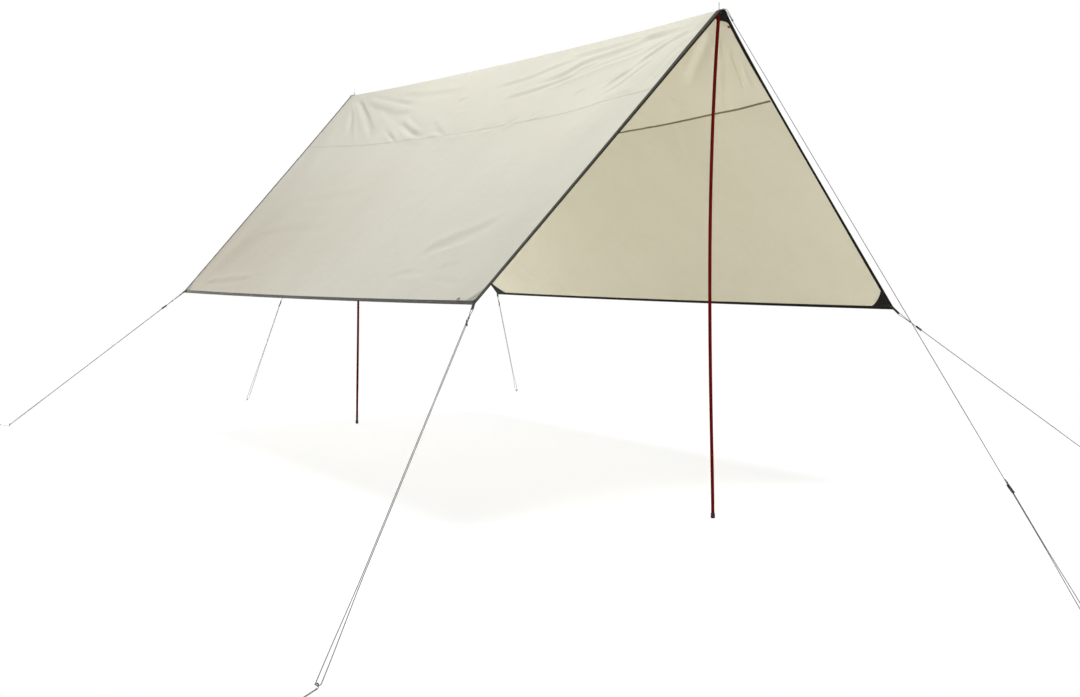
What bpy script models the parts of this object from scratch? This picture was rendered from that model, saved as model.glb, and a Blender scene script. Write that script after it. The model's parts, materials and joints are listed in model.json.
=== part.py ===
"""A ridge tarp: one sheet of three cloth strips over two upright poles, held out by six guy lines.

Metres, +Z up. The origin is on the ground midway between the pole feet. The ridge runs along Y with the front
end at -Y, and the left slope is the one at -X.
"""

import math

import bmesh
import bpy
from mathutils import Matrix, Vector

# Where the tarp stands
EYELET_HEIGHT = 2.400
POLE_REACH = 2.047
EDGE_PAST_EYELET = 0.038
RIDGE_END = POLE_REACH + EDGE_PAST_EYELET
CORNERS = {
    ("front", "left"): Vector((-1.294, -2.004, 1.051)),
    ("rear", "left"): Vector((-1.287, 2.035, 0.989)),
    ("front", "right"): Vector((1.243, -2.016, 0.976)),
    ("rear", "right"): Vector((1.210, 2.054, 0.938)),
}
OUTWARD = {"left": -1, "right": 1, "front": -1, "rear": 1}

# Cloth: sags, drawn-in edges and the share of each slope that the centre strip covers
RIDGE_SAG = 0.020
EDGE_SAG = {"left": 0.009, "right": 0.006}
EDGE_DRAWN_IN = 0.015
END_DRAWN_IN = {
    ("front", "left"): 0.002,
    ("rear", "left"): 0.020,
    ("front", "right"): 0.026,
    ("rear", "right"): 0.020,
}
SLOPE_SAG = 0.022
RIDGE_ROUNDING = 0.006
FLAT_AT_EYELET = {
    ("front", "left"): 0.024,
    ("rear", "left"): 0.014,
    ("front", "right"): 0.014,
    ("rear", "right"): 0.014,
}
FLAT_AT_MIDDLE = 0.006
CENTRE_SHARE = {
    ("front", "left"): 0.296,
    ("rear", "left"): 0.280,
    ("front", "right"): 0.2825,
    ("rear", "right"): 0.280,
}
SEAM_BOW = 0.024
CLOTH = 0.0005
SEAM_GAP = 0.0004
SEAM_WIDTH = 0.010
SEAM_THICK = 0.0006
BINDING_WIDTH = 0.020
BINDING_TAPE = 0.0006
SEAT = 0.00035
PATCH_THICK = 0.0005
PATCH_DROP = 0.0011
CORNER_PATCH_ALONG = 0.145
CORNER_PATCH_DOWN = 0.125
CORNER_PATCH_HOLLOW = 0.22
PEAK_PATCH_BACK = 0.095
PEAK_PATCH_CURVE = 0.012
PEAK_PATCH_LOWEST = 0.170
PEAK_PATCH_RISE = 0.055

# Folds that fan out from the ends of the ridge and from the corners: end, side, the slope's top or foot,
# folds in the quarter turn, height and how far they run
FOLD_FANS = (
    ("front", "left", "top", 1.5, 0.006, 1.7),
    ("rear", "left", "top", 2.0, 0.007, 1.4),
    ("front", "right", "top", 2.0, 0.006, 1.5),
    ("rear", "right", "top", 1.5, 0.005, 1.4),
    ("front", "left", "foot", 1.5, 0.004, 1.0),
    ("rear", "left", "foot", 1.5, 0.004, 1.0),
    ("front", "right", "foot", 1.5, 0.004, 1.0),
    ("rear", "right", "foot", 1.5, 0.004, 1.0),
)
FOLD_STARTS = 0.20

# Rows of the cloth, as shares of the centre strip from the ridge out and of a side strip from the seam down
CENTRE_ROWS = (0.0, 0.022, 0.045, 0.067, 0.095, 0.17, 0.36, 0.67)
SIDE_ROWS = (0.0, 0.15, 0.32, 0.50, 0.68, 0.85)
CELLS_ALONG = 24
PLAIN_END = 0.10

# Eyelets, webbing loops and the small pieces on the edges
EYELET_BORE = 0.0036
EYELET_BARREL = 0.0055
EYELET_FLANGE = 0.0100
EYELET_PLATE = 0.0008
EYELET_OVER = 0.0007
EYELET_UNDER = 0.0038
CLOTH_HOLE = 0.0063
WEBBING_WIDTH = 0.013
WEBBING_THICK = 0.0012
WEBBING_HALF_SLOT = 0.0019
WEBBING_INSIDE = 0.030
WEBBING_OUTSIDE = 0.0345
SIDE_LOOP_AT = 0.043
SIDE_LOOP_RADIUS = 0.0085
SIDE_LOOP_CORD = 0.0012
TAG_AT = 0.108
TAG_SIZE = (0.014, 0.012, 0.0008)

# Poles
TUBE_RADIUS = 0.0080
TUBE_BORE = 0.0067
SPIGOT_RADIUS = 0.0064
SPIGOT_BORE = 0.0052
SPIGOT_REACH = 0.060
SECTIONS = ("lower", "middle", "upper")
POLE_BOW = 0.046
POLE_BOW_SKEW = 1.25
POLE_SIDES = 14
CAP_RADIUS = 0.0100
CAP_HEIGHT = 0.025
CAP_FLOOR = 0.004
SPIKE_RADIUS = 0.0030
SPIKE_ABOVE = 0.045
COLLAR_RADIUS = 0.0095
COLLAR_HEIGHT = 0.006
PLUG_DEPTH = 0.030
CLEARANCE = 0.0003

# Guy lines: distances are measured down each line from the end of its loop
CORD_RADIUS = 0.0015
STRAND_OFFSET = 0.0025
FOOT_OFFSET = 0.0090
KNOT_SWELL = 2.6
KNOT_LENGTH = 0.012
LOOP_RADIUS = 0.0088
SPIKE_LOOP_RADIUS = 0.0062
RUNNER_LENGTH = 0.038
HOOK_CENTRE_HEIGHT = 0.0102
GUYS = {
    "front_left": {"peg": (-2.599, -3.386), "heading": (-0.776, -0.630), "knot": 0.070, "runner": 0.109},
    "rear_left": {"peg": (-2.215, 3.206), "heading": (-0.340, 0.940), "knot": 0.072, "runner": 0.150},
    "rear_right": {"peg": (2.170, 3.350), "heading": (0.600, 0.800), "knot": 0.080, "runner": 0.128},
    "front_right": {"peg": (2.436, -2.664), "heading": (0.880, -0.475), "knot": 0.070, "runner": 0.131},
    "front_ridge": {"peg": (0.000, -4.087), "heading": (0.000, -1.000), "knot": 0.070, "runner": 2.590},
    "rear_ridge": {"peg": (-0.170, 3.907), "heading": (-0.093, 0.996), "knot": 0.070, "runner": 1.950},
}
SPREAD_FROM = {
    "front_left": 0.76,
    "rear_left": 0.76,
    "rear_right": 0.76,
    "front_right": 0.76,
    "front_ridge": 0.91,
    "rear_ridge": 0.80,
}

# Pegs of bent round steel
PEG_RADIUS = 0.0022
PEG_LENGTH = 0.175
PEG_BEND = 0.0080
PEG_TAIL = 0.012
PEG_POINT = 0.014


def smooth(low, high, value):
    t = min(max((value - low) / (high - low), 0.0), 1.0)
    return t * t * (3 - 2 * t)


def mix(start, end, share):
    return start + (end - start) * share


def clear_scene():
    for obj in list(bpy.data.objects):
        bpy.data.objects.remove(obj, do_unlink=True)


def material(name, colour, roughness, metallic=0.0):
    made = bpy.data.materials.new(name)
    made.use_nodes = True
    shader = made.node_tree.nodes["Principled BSDF"]
    shader.inputs["Base Color"].default_value = (*colour, 1.0)
    shader.inputs["Roughness"].default_value = roughness
    shader.inputs["Metallic"].default_value = metallic
    made.diffuse_color = (*colour, 1.0)
    return made


def make_materials():
    return {
        "cloth": material("cloth", (0.68, 0.66, 0.58), 0.80),
        "binding": material("binding", (0.055, 0.052, 0.045), 0.85),
        "patch": material("patch", (0.020, 0.019, 0.018), 0.85),
        "webbing": material("webbing", (0.018, 0.018, 0.018), 0.80),
        "seam": material("seam", (0.30, 0.28, 0.19), 0.80),
        "cord": material("cord", (0.56, 0.55, 0.56), 0.75),
        "elastic": material("elastic", (0.040, 0.038, 0.032), 0.75),
        "tag": material("tag", (0.32, 0.080, 0.030), 0.70),
        "runner": material("runner", (0.020, 0.020, 0.021), 0.45),
        "pole": material("pole", (0.120, 0.010, 0.008), 0.32, 0.55),
        "cap": material("cap", (0.022, 0.021, 0.022), 0.70),
        "steel": material("steel", (0.32, 0.32, 0.33), 0.38, 1.0),
        "eyelet": material("eyelet", (0.55, 0.54, 0.52), 0.35, 1.0),
    }


def mesh_object(name, points, faces, finish, frame=None, parent=None):
    """One closed body from points and faces, with its faces turned outward."""
    mesh = bpy.data.meshes.new(name)
    mesh.from_pydata([tuple(p) for p in points], [], faces)
    shape = bmesh.new()
    shape.from_mesh(mesh)
    bmesh.ops.recalc_face_normals(shape, faces=shape.faces)
    shape.to_mesh(mesh)
    shape.free()
    mesh.shade_smooth()
    mesh.set_sharp_from_angle(angle=math.radians(35))
    mesh.materials.append(finish)
    obj = bpy.data.objects.new(name, mesh)
    bpy.context.collection.objects.link(obj)
    obj.parent = parent
    if frame is not None:
        obj.matrix_local = frame
    return obj


def empty_at(name, location):
    holder = bpy.data.objects.new(name, None)
    holder.empty_display_size = 0.1
    holder.location = location
    bpy.context.collection.objects.link(holder)
    return holder


def ridge_point(a):
    """A point on the ridge, with a from 0 at the front end to 1 at the rear end."""
    y = (2 * a - 1) * RIDGE_END
    out = min(abs(y) / POLE_REACH, 1.0)
    return Vector((0.0, y, EYELET_HEIGHT - RIDGE_SAG * (1 - out * out)))


def edge_point(side, a):
    """A point on a slope's long lower edge, which hangs a little and is drawn in between its corners."""
    bow = 4 * a * (1 - a)
    point = CORNERS["front", side].lerp(CORNERS["rear", side], a)
    point.x -= OUTWARD[side] * EDGE_DRAWN_IN * bow
    point.z -= EDGE_SAG[side] * bow
    return point


def end_distance(a):
    return min(a, 1 - a) * 2 * RIDGE_END


def slope_drop(x, reach, drop, flat):
    """How far the section has fallen at x from the ridge: level over the flat, then an even slope to the edge."""

    def ramp(t):
        return (t + math.hypot(t, RIDGE_ROUNDING)) / 2

    start = ramp(-flat)
    return drop * (ramp(x - flat) - start) / (ramp(reach - flat) - start)


def fold_height(side, a, b, slope_length):
    """Height of the fans of folds at this place on a slope."""
    down = b * slope_length
    along = {"front": a * 2 * RIDGE_END, "rear": (1 - a) * 2 * RIDGE_END}
    total = 0.0
    for end, fan_side, level, count, height, reach in FOLD_FANS:
        if fan_side != side:
            continue
        across = down if level == "top" else slope_length - down
        distance = math.hypot(along[end], across)
        turn = math.atan2(across, along[end]) / (math.pi / 2)
        inside = smooth(FOLD_STARTS, 3 * FOLD_STARTS, distance)
        outside = 1 - smooth(0.45 * reach, reach, distance)
        total += height * inside * outside * math.cos(2 * math.pi * count * turn)
    at_ridge = smooth(0.04, 0.25, down)
    at_edges = smooth(BINDING_WIDTH, 0.25, slope_length - down)
    at_ends = smooth(BINDING_WIDTH, 0.30, end_distance(a))
    return total * at_ridge * at_edges * at_ends


def cloth_point(side, a, b):
    """A point on the middle of the cloth: a runs along the ridge, and b from the ridge at 0 to the edge at 1."""
    top, foot = ridge_point(a), edge_point(side, a)
    reach, drop = abs(foot.x), top.z - foot.z
    x = b * reach
    end = "front" if a < 0.5 else "rear"
    flat = mix(FLAT_AT_EYELET[end, side], FLAT_AT_MIDDLE, smooth(0.12, 0.7, end_distance(a)))
    drawn_in = END_DRAWN_IN[end, side] * math.sin(math.pi * math.sqrt(max(b, 0.0)))
    y = mix(top.y, foot.y, b) + drawn_in * (1 - 2 * a)
    z = top.z - slope_drop(x, reach, drop, flat)
    slope_length = math.hypot(reach, drop)
    lift = fold_height(side, a, b, slope_length)
    lift -= SLOPE_SAG * math.sin(math.pi * a) * math.sin(math.pi * b)
    outward = Vector((OUTWARD[side] * drop, 0.0, reach)) / slope_length
    return Vector((OUTWARD[side] * x, y, z)) + outward * lift


def cloth_normal(side, a, b):
    step = 0.0005
    along = cloth_point(side, a + step, b) - cloth_point(side, a - step, b)
    if b == 0.0:
        return Vector((0.0, -along.z, along.y)).normalized()
    down = cloth_point(side, a, b + step) - cloth_point(side, a, b - step)
    normal = along.cross(down) * -OUTWARD[side]
    return normal.normalized()


def centre_share(side, a):
    straight = mix(CENTRE_SHARE["front", side], CENTRE_SHARE["rear", side], a)
    return straight + SEAM_BOW * max(math.sin(math.pi * a), 0.0) ** 0.7


def slope_length_at(side, a):
    top, foot = ridge_point(a), edge_point(side, a)
    return math.hypot(foot.x, top.z - foot.z)


def along_share(distance):
    return distance / (2 * RIDGE_END)


def along_stations():
    """Places along the ridge where the cloth has a row of points: closer at both ends, even between."""
    ends = [0.0, BINDING_WIDTH, EDGE_PAST_EYELET, PLAIN_END]
    near = [along_share(d) for d in ends]
    far = [1 - s for s in reversed(near)]
    step = (far[0] - near[-1]) / CELLS_ALONG
    middle = [near[-1] + step * i for i in range(1, CELLS_ALONG)]
    return near + middle + far


def centre_place(side, a, row):
    return side, a, row * (centre_share(side, a) - SEAM_GAP / 2 / slope_length_at(side, a))


def side_place(side, a, row):
    seam = centre_share(side, a) + SEAM_GAP / 2 / slope_length_at(side, a)
    return side, a, mix(seam, 1.0, row)


def side_width(side):
    """Width of a side strip half way along the tarp."""
    return slope_length_at(side, 0.5) * (1 - centre_share(side, 0.5))


def centre_rows(side):
    """Rows of half the centre strip, with one along the seam's border."""
    width = slope_length_at(side, 0.5) * centre_share(side, 0.5)
    return [*CENTRE_ROWS, 1 - SEAM_WIDTH / 2 / width, 1.0]


def side_rows(side):
    """Rows of a side strip, with one along the seam's border and one along the edge binding's."""
    width = side_width(side)
    return [SIDE_ROWS[0], SEAM_WIDTH / 2 / width, *SIDE_ROWS[1:], 1 - BINDING_WIDTH / width, 1.0]


def left_to_right(side, items):
    """Items listed from the ridge outward, put in order across the whole tarp."""
    return list(items) if side == "right" else list(reversed(items))


def shifted(place, height):
    """The point at a height above the middle of the cloth, square to it."""
    return cloth_point(*place) + cloth_normal(*place) * height


def sheet_solid(name, grid, top, bottom, finish):
    """A thin closed sheet over a grid of places, between two heights above the middle of the cloth."""
    rows, columns = len(grid), len(grid[0])
    points = [shifted(place, top) for row in grid for place in row]
    points += [shifted(place, bottom) for row in grid for place in row]
    under = rows * columns

    def at(i, j):
        return i * columns + j

    faces = []
    for i in range(rows - 1):
        for j in range(columns - 1):
            a, b, c, d = at(i, j), at(i + 1, j), at(i + 1, j + 1), at(i, j + 1)
            faces += [(a, b, c), (a, c, d)]
            faces += [(under + c, under + b, under + a), (under + d, under + c, under + a)]
    rim = [at(i, 0) for i in range(rows)]
    rim += [at(rows - 1, j) for j in range(1, columns)]
    rim += [at(i, columns - 1) for i in range(rows - 2, -1, -1)]
    rim += [at(0, j) for j in range(columns - 2, 0, -1)]
    for here, after in zip(rim, rim[1:] + rim[:1]):
        faces += [(here, after, under + after), (here, under + after, under + here)]
    return mesh_object(name, points, faces, finish)


def loft(name, sections, finish, frame=None, parent=None):
    """A closed body through sections that are closed outlines of equally many points, capped at both ends."""
    count = len(sections[0])
    points = [p for section in sections for p in section]
    faces = [tuple(reversed(range(count)))]
    for i in range(len(sections) - 1):
        for k in range(count):
            a, b = i * count + k, i * count + (k + 1) % count
            c, d = b + count, a + count
            faces += [(a, b, c), (a, c, d)]
    last = (len(sections) - 1) * count
    faces.append(tuple(range(last, last + count)))
    return mesh_object(name, points, faces, finish, frame, parent)


def ring(centre, radius, sides):
    """Points round a level circle."""
    turns = (2 * math.pi * k / sides for k in range(sides))
    return [centre + Vector((radius * math.cos(t), radius * math.sin(t), 0)) for t in turns]


def turned(name, profile, finish, sides, axis=None, frame=None, parent=None):
    """A hollow body turned round Z from a closed outline of (radius, height) points, along a bowed axis if given."""
    points = []
    for radius, height in profile:
        centre = axis(height) if axis else Vector((0, 0, height))
        points += ring(centre, radius, sides)
    faces = []
    for i in range(len(profile)):
        following = (i + 1) % len(profile)
        for k in range(sides):
            after = (k + 1) % sides
            faces.append((i * sides + k, i * sides + after, following * sides + after, following * sides + k))
    return mesh_object(name, points, faces, finish, frame, parent)


def solid_turned(name, profile, finish, sides, axis, parent):
    """A body turned round a bowed axis from an open outline of (radius, height), closed by a disc at each end."""
    sections = [ring(axis(height), radius, sides) for radius, height in profile]
    return loft(name, sections, finish, parent=parent)


def tube(name, route, radius, finish, resolution=2, swell=None, frame=None):
    """A round cord or wire along a route of points, with closed ends. Swell gives points a larger radius."""
    curve = bpy.data.curves.new(name, "CURVE")
    curve.dimensions = "3D"
    curve.bevel_depth = radius
    curve.bevel_resolution = resolution
    curve.use_fill_caps = True
    curve.twist_mode = "MINIMUM"
    spline = curve.splines.new("POLY")
    spline.points.add(len(route) - 1)
    for index, point in enumerate(route):
        spline.points[index].co = (*point, 1.0)
        spline.points[index].radius = swell.get(index, 1.0) if swell else 1.0
    curve.materials.append(finish)
    obj = bpy.data.objects.new(name, curve)
    bpy.context.collection.objects.link(obj)
    if frame is not None:
        obj.matrix_local = frame
    return obj


def cutter(name, radius, start, end, sides=12):
    """A hidden rod from start to end that cuts a bore."""
    axis = (end - start).normalized()
    turn = axis.to_track_quat("Z", "Y").to_matrix()
    sections = [[centre + turn @ p for p in ring(Vector(), radius, sides)] for centre in (start, end)]
    rod = loft(name, sections, bpy.data.materials["runner"])
    rod.hide_render = True
    rod.display_type = "WIRE"
    return rod


def cut(obj, rod):
    boolean = obj.modifiers.new(rod.name, "BOOLEAN")
    boolean.operation = "DIFFERENCE"
    boolean.solver = "EXACT"
    boolean.object = rod


def make_canopy(finish):
    """The sheet: a centre strip over the ridge and a side strip on each slope."""
    stations = along_stations()
    half = CLOTH / 2
    grid = []
    for a in stations:
        left = [centre_place("left", a, row) for row in reversed(centre_rows("left")[1:])]
        grid.append(left + [centre_place("right", a, row) for row in centre_rows("right")])
    centre = sheet_solid("centre_panel", grid, half, -half, finish["cloth"])
    for end in ("front", "rear"):
        middle = Vector((0.0, OUTWARD[end] * POLE_REACH, EYELET_HEIGHT))
        reach = Vector((0, 0, 0.02))
        cut(centre, cutter(f"{end}_cloth_hole", CLOTH_HOLE, middle - reach, middle + reach))
    for side in ("left", "right"):
        rows = left_to_right(side, side_rows(side))
        grid = [[side_place(side, a, row) for row in rows] for a in stations]
        sheet_solid(f"{side}_panel", grid, half, -half, finish["cloth"])


def make_seams(finish):
    """The felled seams: a doubled strip of cloth under the join of two strips."""
    top = -CLOTH / 2 - SEAT
    gap = along_share(BINDING_WIDTH + 2 * SEAT)
    stations = [gap, *along_stations()[2:-2], 1 - gap]
    for side in ("left", "right"):
        centre, outer = centre_rows(side)[-2:], side_rows(side)[:2]
        grid = []
        for a in stations:
            places = [centre_place(side, a, row) for row in centre] + [side_place(side, a, row) for row in outer]
            grid.append(left_to_right(side, places))
        sheet_solid(f"{side}_seam", grid, top, top - SEAM_THICK, finish["seam"])


def binding_section(border, rim):
    """The folded tape's outline, from its border on the cloth round the cloth's rim and back under it."""
    inner = CLOTH / 2 + SEAT
    outer = inner + BINDING_TAPE
    out = (cloth_point(*rim) - cloth_point(*border)).normalized()
    return [
        shifted(border, outer),
        shifted(rim, outer) + out * (SEAT + BINDING_TAPE),
        shifted(rim, -outer) + out * (SEAT + BINDING_TAPE),
        shifted(border, -outer),
        shifted(border, -inner),
        shifted(rim, -inner) + out * SEAT,
        shifted(rim, inner) + out * SEAT,
        shifted(border, inner),
    ]


def make_bindings(finish):
    """Tape folded over the cloth's four edges. The end tapes run over the ridge, the side tapes butt against them."""
    stations = along_stations()
    gap = along_share(BINDING_WIDTH + CLEARANCE)
    places_along = [gap, *stations[2:-2], 1 - gap]
    for side in ("left", "right"):
        border = side_rows(side)[-2]
        sections = [
            binding_section(side_place(side, a, border), side_place(side, a, 1.0)) for a in places_along
        ]
        loft(f"{side}_edge_binding", sections, finish["binding"])
    past_rim = SEAT + BINDING_TAPE
    for end, rim_at, border_at in (("front", stations[0], stations[1]), ("rear", stations[-1], stations[-2])):
        sections = []
        for side in ("left", "right"):
            beyond = 1.0 + past_rim / slope_length_at(side, 0.5)
            rows = [(centre_place, row) for row in centre_rows(side)]
            rows += [(side_place, row) for row in side_rows(side)]
            rows[-1] = (side_place, beyond)
            made = [binding_section(place(side, border_at, row), place(side, rim_at, row)) for place, row in rows]
            sections += list(reversed(made)) if side == "left" else made[1:]
        loft(f"{end}_edge_binding", sections, finish["binding"])


def patch_grid(boundary, cells):
    """A grid over a four-sided outline, given as a function from the unit square's border to (along, down)."""
    grid = []
    for i in range(cells + 1):
        row = []
        for j in range(cells + 1):
            u, v = i / cells, j / cells
            left, right = boundary(0.0, v), boundary(1.0, v)
            low, high = boundary(u, 0.0), boundary(u, 1.0)
            across = mix(left, right, u) + mix(low, high, v)
            corners = mix(mix(boundary(0, 0), boundary(1, 0), u), mix(boundary(0, 1), boundary(1, 1), u), v)
            row.append(across - corners)
        grid.append(row)
    return grid


def corner_patch_outline(u, v):
    """Border of a corner patch: two sides along the bindings and a hollow side that faces the cloth."""
    start = BINDING_WIDTH + 2 * CLEARANCE
    corner = Vector((start, start))
    along, down = Vector((CORNER_PATCH_ALONG, start)), Vector((start, CORNER_PATCH_DOWN))
    pull = mix((along + down) / 2, corner, CORNER_PATCH_HOLLOW)

    def hollow(t):
        return along * (1 - t) ** 2 + pull * 2 * t * (1 - t) + down * t * t

    if v == 0.0:
        return mix(corner, along, u)
    if u == 0.0:
        return mix(corner, down, v)
    return hollow(v / 2) if u == 1.0 else hollow(1 - u / 2)


def make_corner_patches(finish):
    """Doubled cloth inside each corner of the sheet."""
    top = -PATCH_DROP + PATCH_THICK / 2
    for end in ("front", "rear"):
        for side in ("left", "right"):
            grid = []
            for row in patch_grid(corner_patch_outline, 4):
                places = []
                for along, down in row:
                    a = along_share(along) if end == "front" else 1 - along_share(along)
                    places.append(side_place(side, a, 1 - down / side_width(side)))
                grid.append(places)
            sheet_solid(f"{end}_{side}_corner_patch", grid, top, top - PATCH_THICK, finish["patch"])


def make_peak_patches(finish):
    """Doubled cloth under each end of the ridge, round the eyelet."""
    top = -PATCH_DROP + PATCH_THICK / 2
    start = BINDING_WIDTH + 2 * CLEARANCE
    for end in ("front", "rear"):
        grid = []
        for share in (0.0, 0.25, 0.6, 1.0):
            places = []
            rows = [*CENTRE_ROWS[:5], PEAK_PATCH_LOWEST - PEAK_PATCH_RISE * math.sqrt(share)]
            for side, side_rows_used in (("left", list(reversed(rows[1:]))), ("right", rows)):
                for row in side_rows_used:
                    reach = PEAK_PATCH_BACK - PEAK_PATCH_CURVE * (row / rows[-1]) ** 2
                    along = along_share(mix(start, reach, share))
                    a = along if end == "front" else 1 - along
                    places.append(centre_place(side, a, row))
            grid.append(places)
        patch = sheet_solid(f"{end}_peak_patch", grid, top, top - PATCH_THICK, finish["patch"])
        cut(patch, bpy.data.objects[f"{end}_cloth_hole"])


def make_eyelets(finish):
    """Two-part metal eyelets: a barrel through the cloth with a plate above and below it."""
    over, under, plate = EYELET_OVER, -EYELET_UNDER, EYELET_PLATE
    profile = [
        (EYELET_BORE, under - plate),
        (EYELET_FLANGE, under - plate),
        (EYELET_FLANGE, under),
        (EYELET_BARREL, under),
        (EYELET_BARREL, over),
        (EYELET_FLANGE, over),
        (EYELET_FLANGE - plate / 2, over + plate),
        (EYELET_BORE + plate, over + plate),
        (EYELET_BORE, over + plate / 2),
    ]
    for end in ("front", "rear"):
        place = Matrix.Translation((0, OUTWARD[end] * POLE_REACH, EYELET_HEIGHT))
        turned(f"{end}_eyelet", profile, finish["eyelet"], 16, frame=place)


def corner_frame(end, side):
    """Frame at a corner of the cloth: X out towards the peg in the plane of the cloth, Z square to the cloth."""
    a = 0.0 if end == "front" else 1.0
    corner = CORNERS[end, side]
    peg = Vector((*GUYS[f"{end}_{side}"]["peg"], 0.0))
    normal = cloth_normal(side, a, 1.0)
    towards = peg - corner
    out = (towards - normal * towards.dot(normal)).normalized()
    across = normal.cross(out)
    frame = Matrix((out, across, normal)).transposed().to_4x4()
    frame.translation = cloth_point(side, a, 1.0)
    return frame


def webbing_outline(half_gap, reach):
    """Points along one face of the folded webbing: out along the top, round the end and back below."""
    start = -WEBBING_INSIDE
    turn = reach - half_gap
    arc = [
        (turn + half_gap * math.cos(t), half_gap * math.sin(t))
        for t in (math.pi / 2 - math.pi * k / 6 for k in range(7))
    ]
    return [(start, half_gap), *arc, (start, -half_gap)]


def make_webbing(finish):
    """A folded loop of webbing sewn over each corner, with an eye past the corner for the line."""
    outer = webbing_outline(WEBBING_HALF_SLOT + WEBBING_THICK, WEBBING_OUTSIDE)
    inner = webbing_outline(WEBBING_HALF_SLOT, WEBBING_OUTSIDE - WEBBING_THICK)
    outline = outer + list(reversed(inner))
    half = WEBBING_WIDTH / 2
    for end in ("front", "rear"):
        for side in ("left", "right"):
            sections = [[Vector((x, y, z)) for x, z in outline] for y in (-half, half)]
            loft(f"{end}_{side}_webbing_loop", sections, finish["webbing"], corner_frame(end, side))


def make_small_pieces(finish):
    """The elastic loop by the front left corner, and the folded tag on the front edge near the peak."""
    a = SIDE_LOOP_AT
    rows = side_rows("left")
    place = side_place("left", a, rows[-2])
    base, normal = cloth_point(*place), cloth_normal(*place)
    up = (cloth_point("left", a, place[2] - 0.01) - base).normalized()
    along = up.cross(normal)
    rise = CLOTH / 2 + SEAT + SIDE_LOOP_CORD
    start = base + normal * rise + up * 0.001
    route = [start - along * SIDE_LOOP_RADIUS]
    for k in range(9):
        turn = math.pi * k / 8
        centre = start + up * 0.005
        route.append(centre + (along * -math.cos(turn) + up * math.sin(turn)) * SIDE_LOOP_RADIUS)
    route.append(start + along * SIDE_LOOP_RADIUS)
    tube("side_loop", route, SIDE_LOOP_CORD, finish["elastic"])

    length = slope_length_at("right", 0.0)
    place = ("right", along_share(BINDING_WIDTH), TAG_AT / length)
    normal = cloth_normal(*place)
    inward = (cloth_point("right", place[1] + 0.001, place[2]) - cloth_point(*place)).normalized()
    down = inward.cross(normal)
    long, wide, thick = TAG_SIZE
    corner = cloth_point(*place) - normal * (CLOTH / 2 + SEAT + thick) + inward * 4 * SEAT
    sections = [
        [corner + down * y + normal * z + inward * x for x, z in ((0, 0), (long, 0), (long, thick), (0, thick))]
        for y in (-wide / 2, wide / 2)
    ]
    loft("edge_tag", sections, finish["tag"])


def pole_axis(end):
    """The pole's middle line as a function of height. It bows towards the middle of the tarp, most above mid height."""
    bow = -OUTWARD[end] * POLE_BOW

    def axis(height):
        share = min(max(height / EYELET_HEIGHT, 0.0), 1.0) ** POLE_BOW_SKEW
        return Vector((0.0, bow * 4 * share * (1 - share), height))

    return axis


def section_profile(low, high, has_spigot):
    """Outline of a tube section: up the outside, over the spigot that enters the next section, down the bore.

    The bore has a ring wherever the outside has one, so that the wall keeps its thickness along the bow.
    """
    first, last = low + SPIGOT_REACH, high - SPIGOT_REACH
    heights = [low, first, mix(first, last, 1 / 3), mix(first, last, 2 / 3), last, high]
    outside = [(TUBE_RADIUS, height) for height in heights]
    bore = [(TUBE_BORE, height) for height in reversed(heights[:-1])]
    if not has_spigot:
        return [*outside, (TUBE_BORE, high), *bore]
    spigot = [
        (SPIGOT_RADIUS, high),
        (SPIGOT_RADIUS, high + SPIGOT_REACH),
        (SPIGOT_BORE, high + SPIGOT_REACH),
        (SPIGOT_BORE, last),
    ]
    return [*outside, *spigot, *bore]


def make_poles(finish):
    """Two poles of three tube sections, each with a rubber foot and a spiked plug for the eyelet."""
    plug_top = EYELET_HEIGHT - EYELET_UNDER - EYELET_PLATE - CLEARANCE
    collar_low = plug_top - COLLAR_HEIGHT
    tube_low = CAP_FLOOR + CLEARANCE
    tube_high = collar_low - CLEARANCE
    step = (tube_high - tube_low) / len(SECTIONS)
    for end in ("front", "rear"):
        holder = empty_at(f"{end}_pole", (0.0, OUTWARD[end] * POLE_REACH, 0.0))
        axis = pole_axis(end)
        for index, name in enumerate(SECTIONS):
            low = tube_low + step * index + (CLEARANCE if index else 0.0)
            high = tube_low + step * (index + 1)
            profile = section_profile(low, high, index < len(SECTIONS) - 1)
            turned(f"{end}_pole_{name}", profile, finish["pole"], POLE_SIDES, axis=axis, parent=holder)
        bore = TUBE_RADIUS + CLEARANCE
        cap = [
            (CAP_RADIUS - 0.001, 0.0),
            (CAP_RADIUS, 0.001),
            (CAP_RADIUS, CAP_HEIGHT - 0.002),
            (CAP_RADIUS - 0.0006, CAP_HEIGHT),
            (bore, CAP_HEIGHT),
            (bore, CAP_FLOOR),
        ]
        solid_turned(f"{end}_foot_cap", cap, finish["cap"], POLE_SIDES, axis, holder)
        plug = [
            (SPIGOT_RADIUS - 0.001, plug_top - COLLAR_HEIGHT - PLUG_DEPTH),
            (SPIGOT_RADIUS, plug_top - COLLAR_HEIGHT - PLUG_DEPTH + 0.002),
            (SPIGOT_RADIUS, collar_low),
            (COLLAR_RADIUS, collar_low),
            (COLLAR_RADIUS, plug_top),
            (SPIKE_RADIUS, plug_top),
            (SPIKE_RADIUS, EYELET_HEIGHT + SPIKE_ABOVE - 0.006),
            (SPIKE_RADIUS / 3, EYELET_HEIGHT + SPIKE_ABOVE),
        ]
        solid_turned(f"{end}_pole_spike", plug, finish["steel"], POLE_SIDES, axis, holder)


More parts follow.
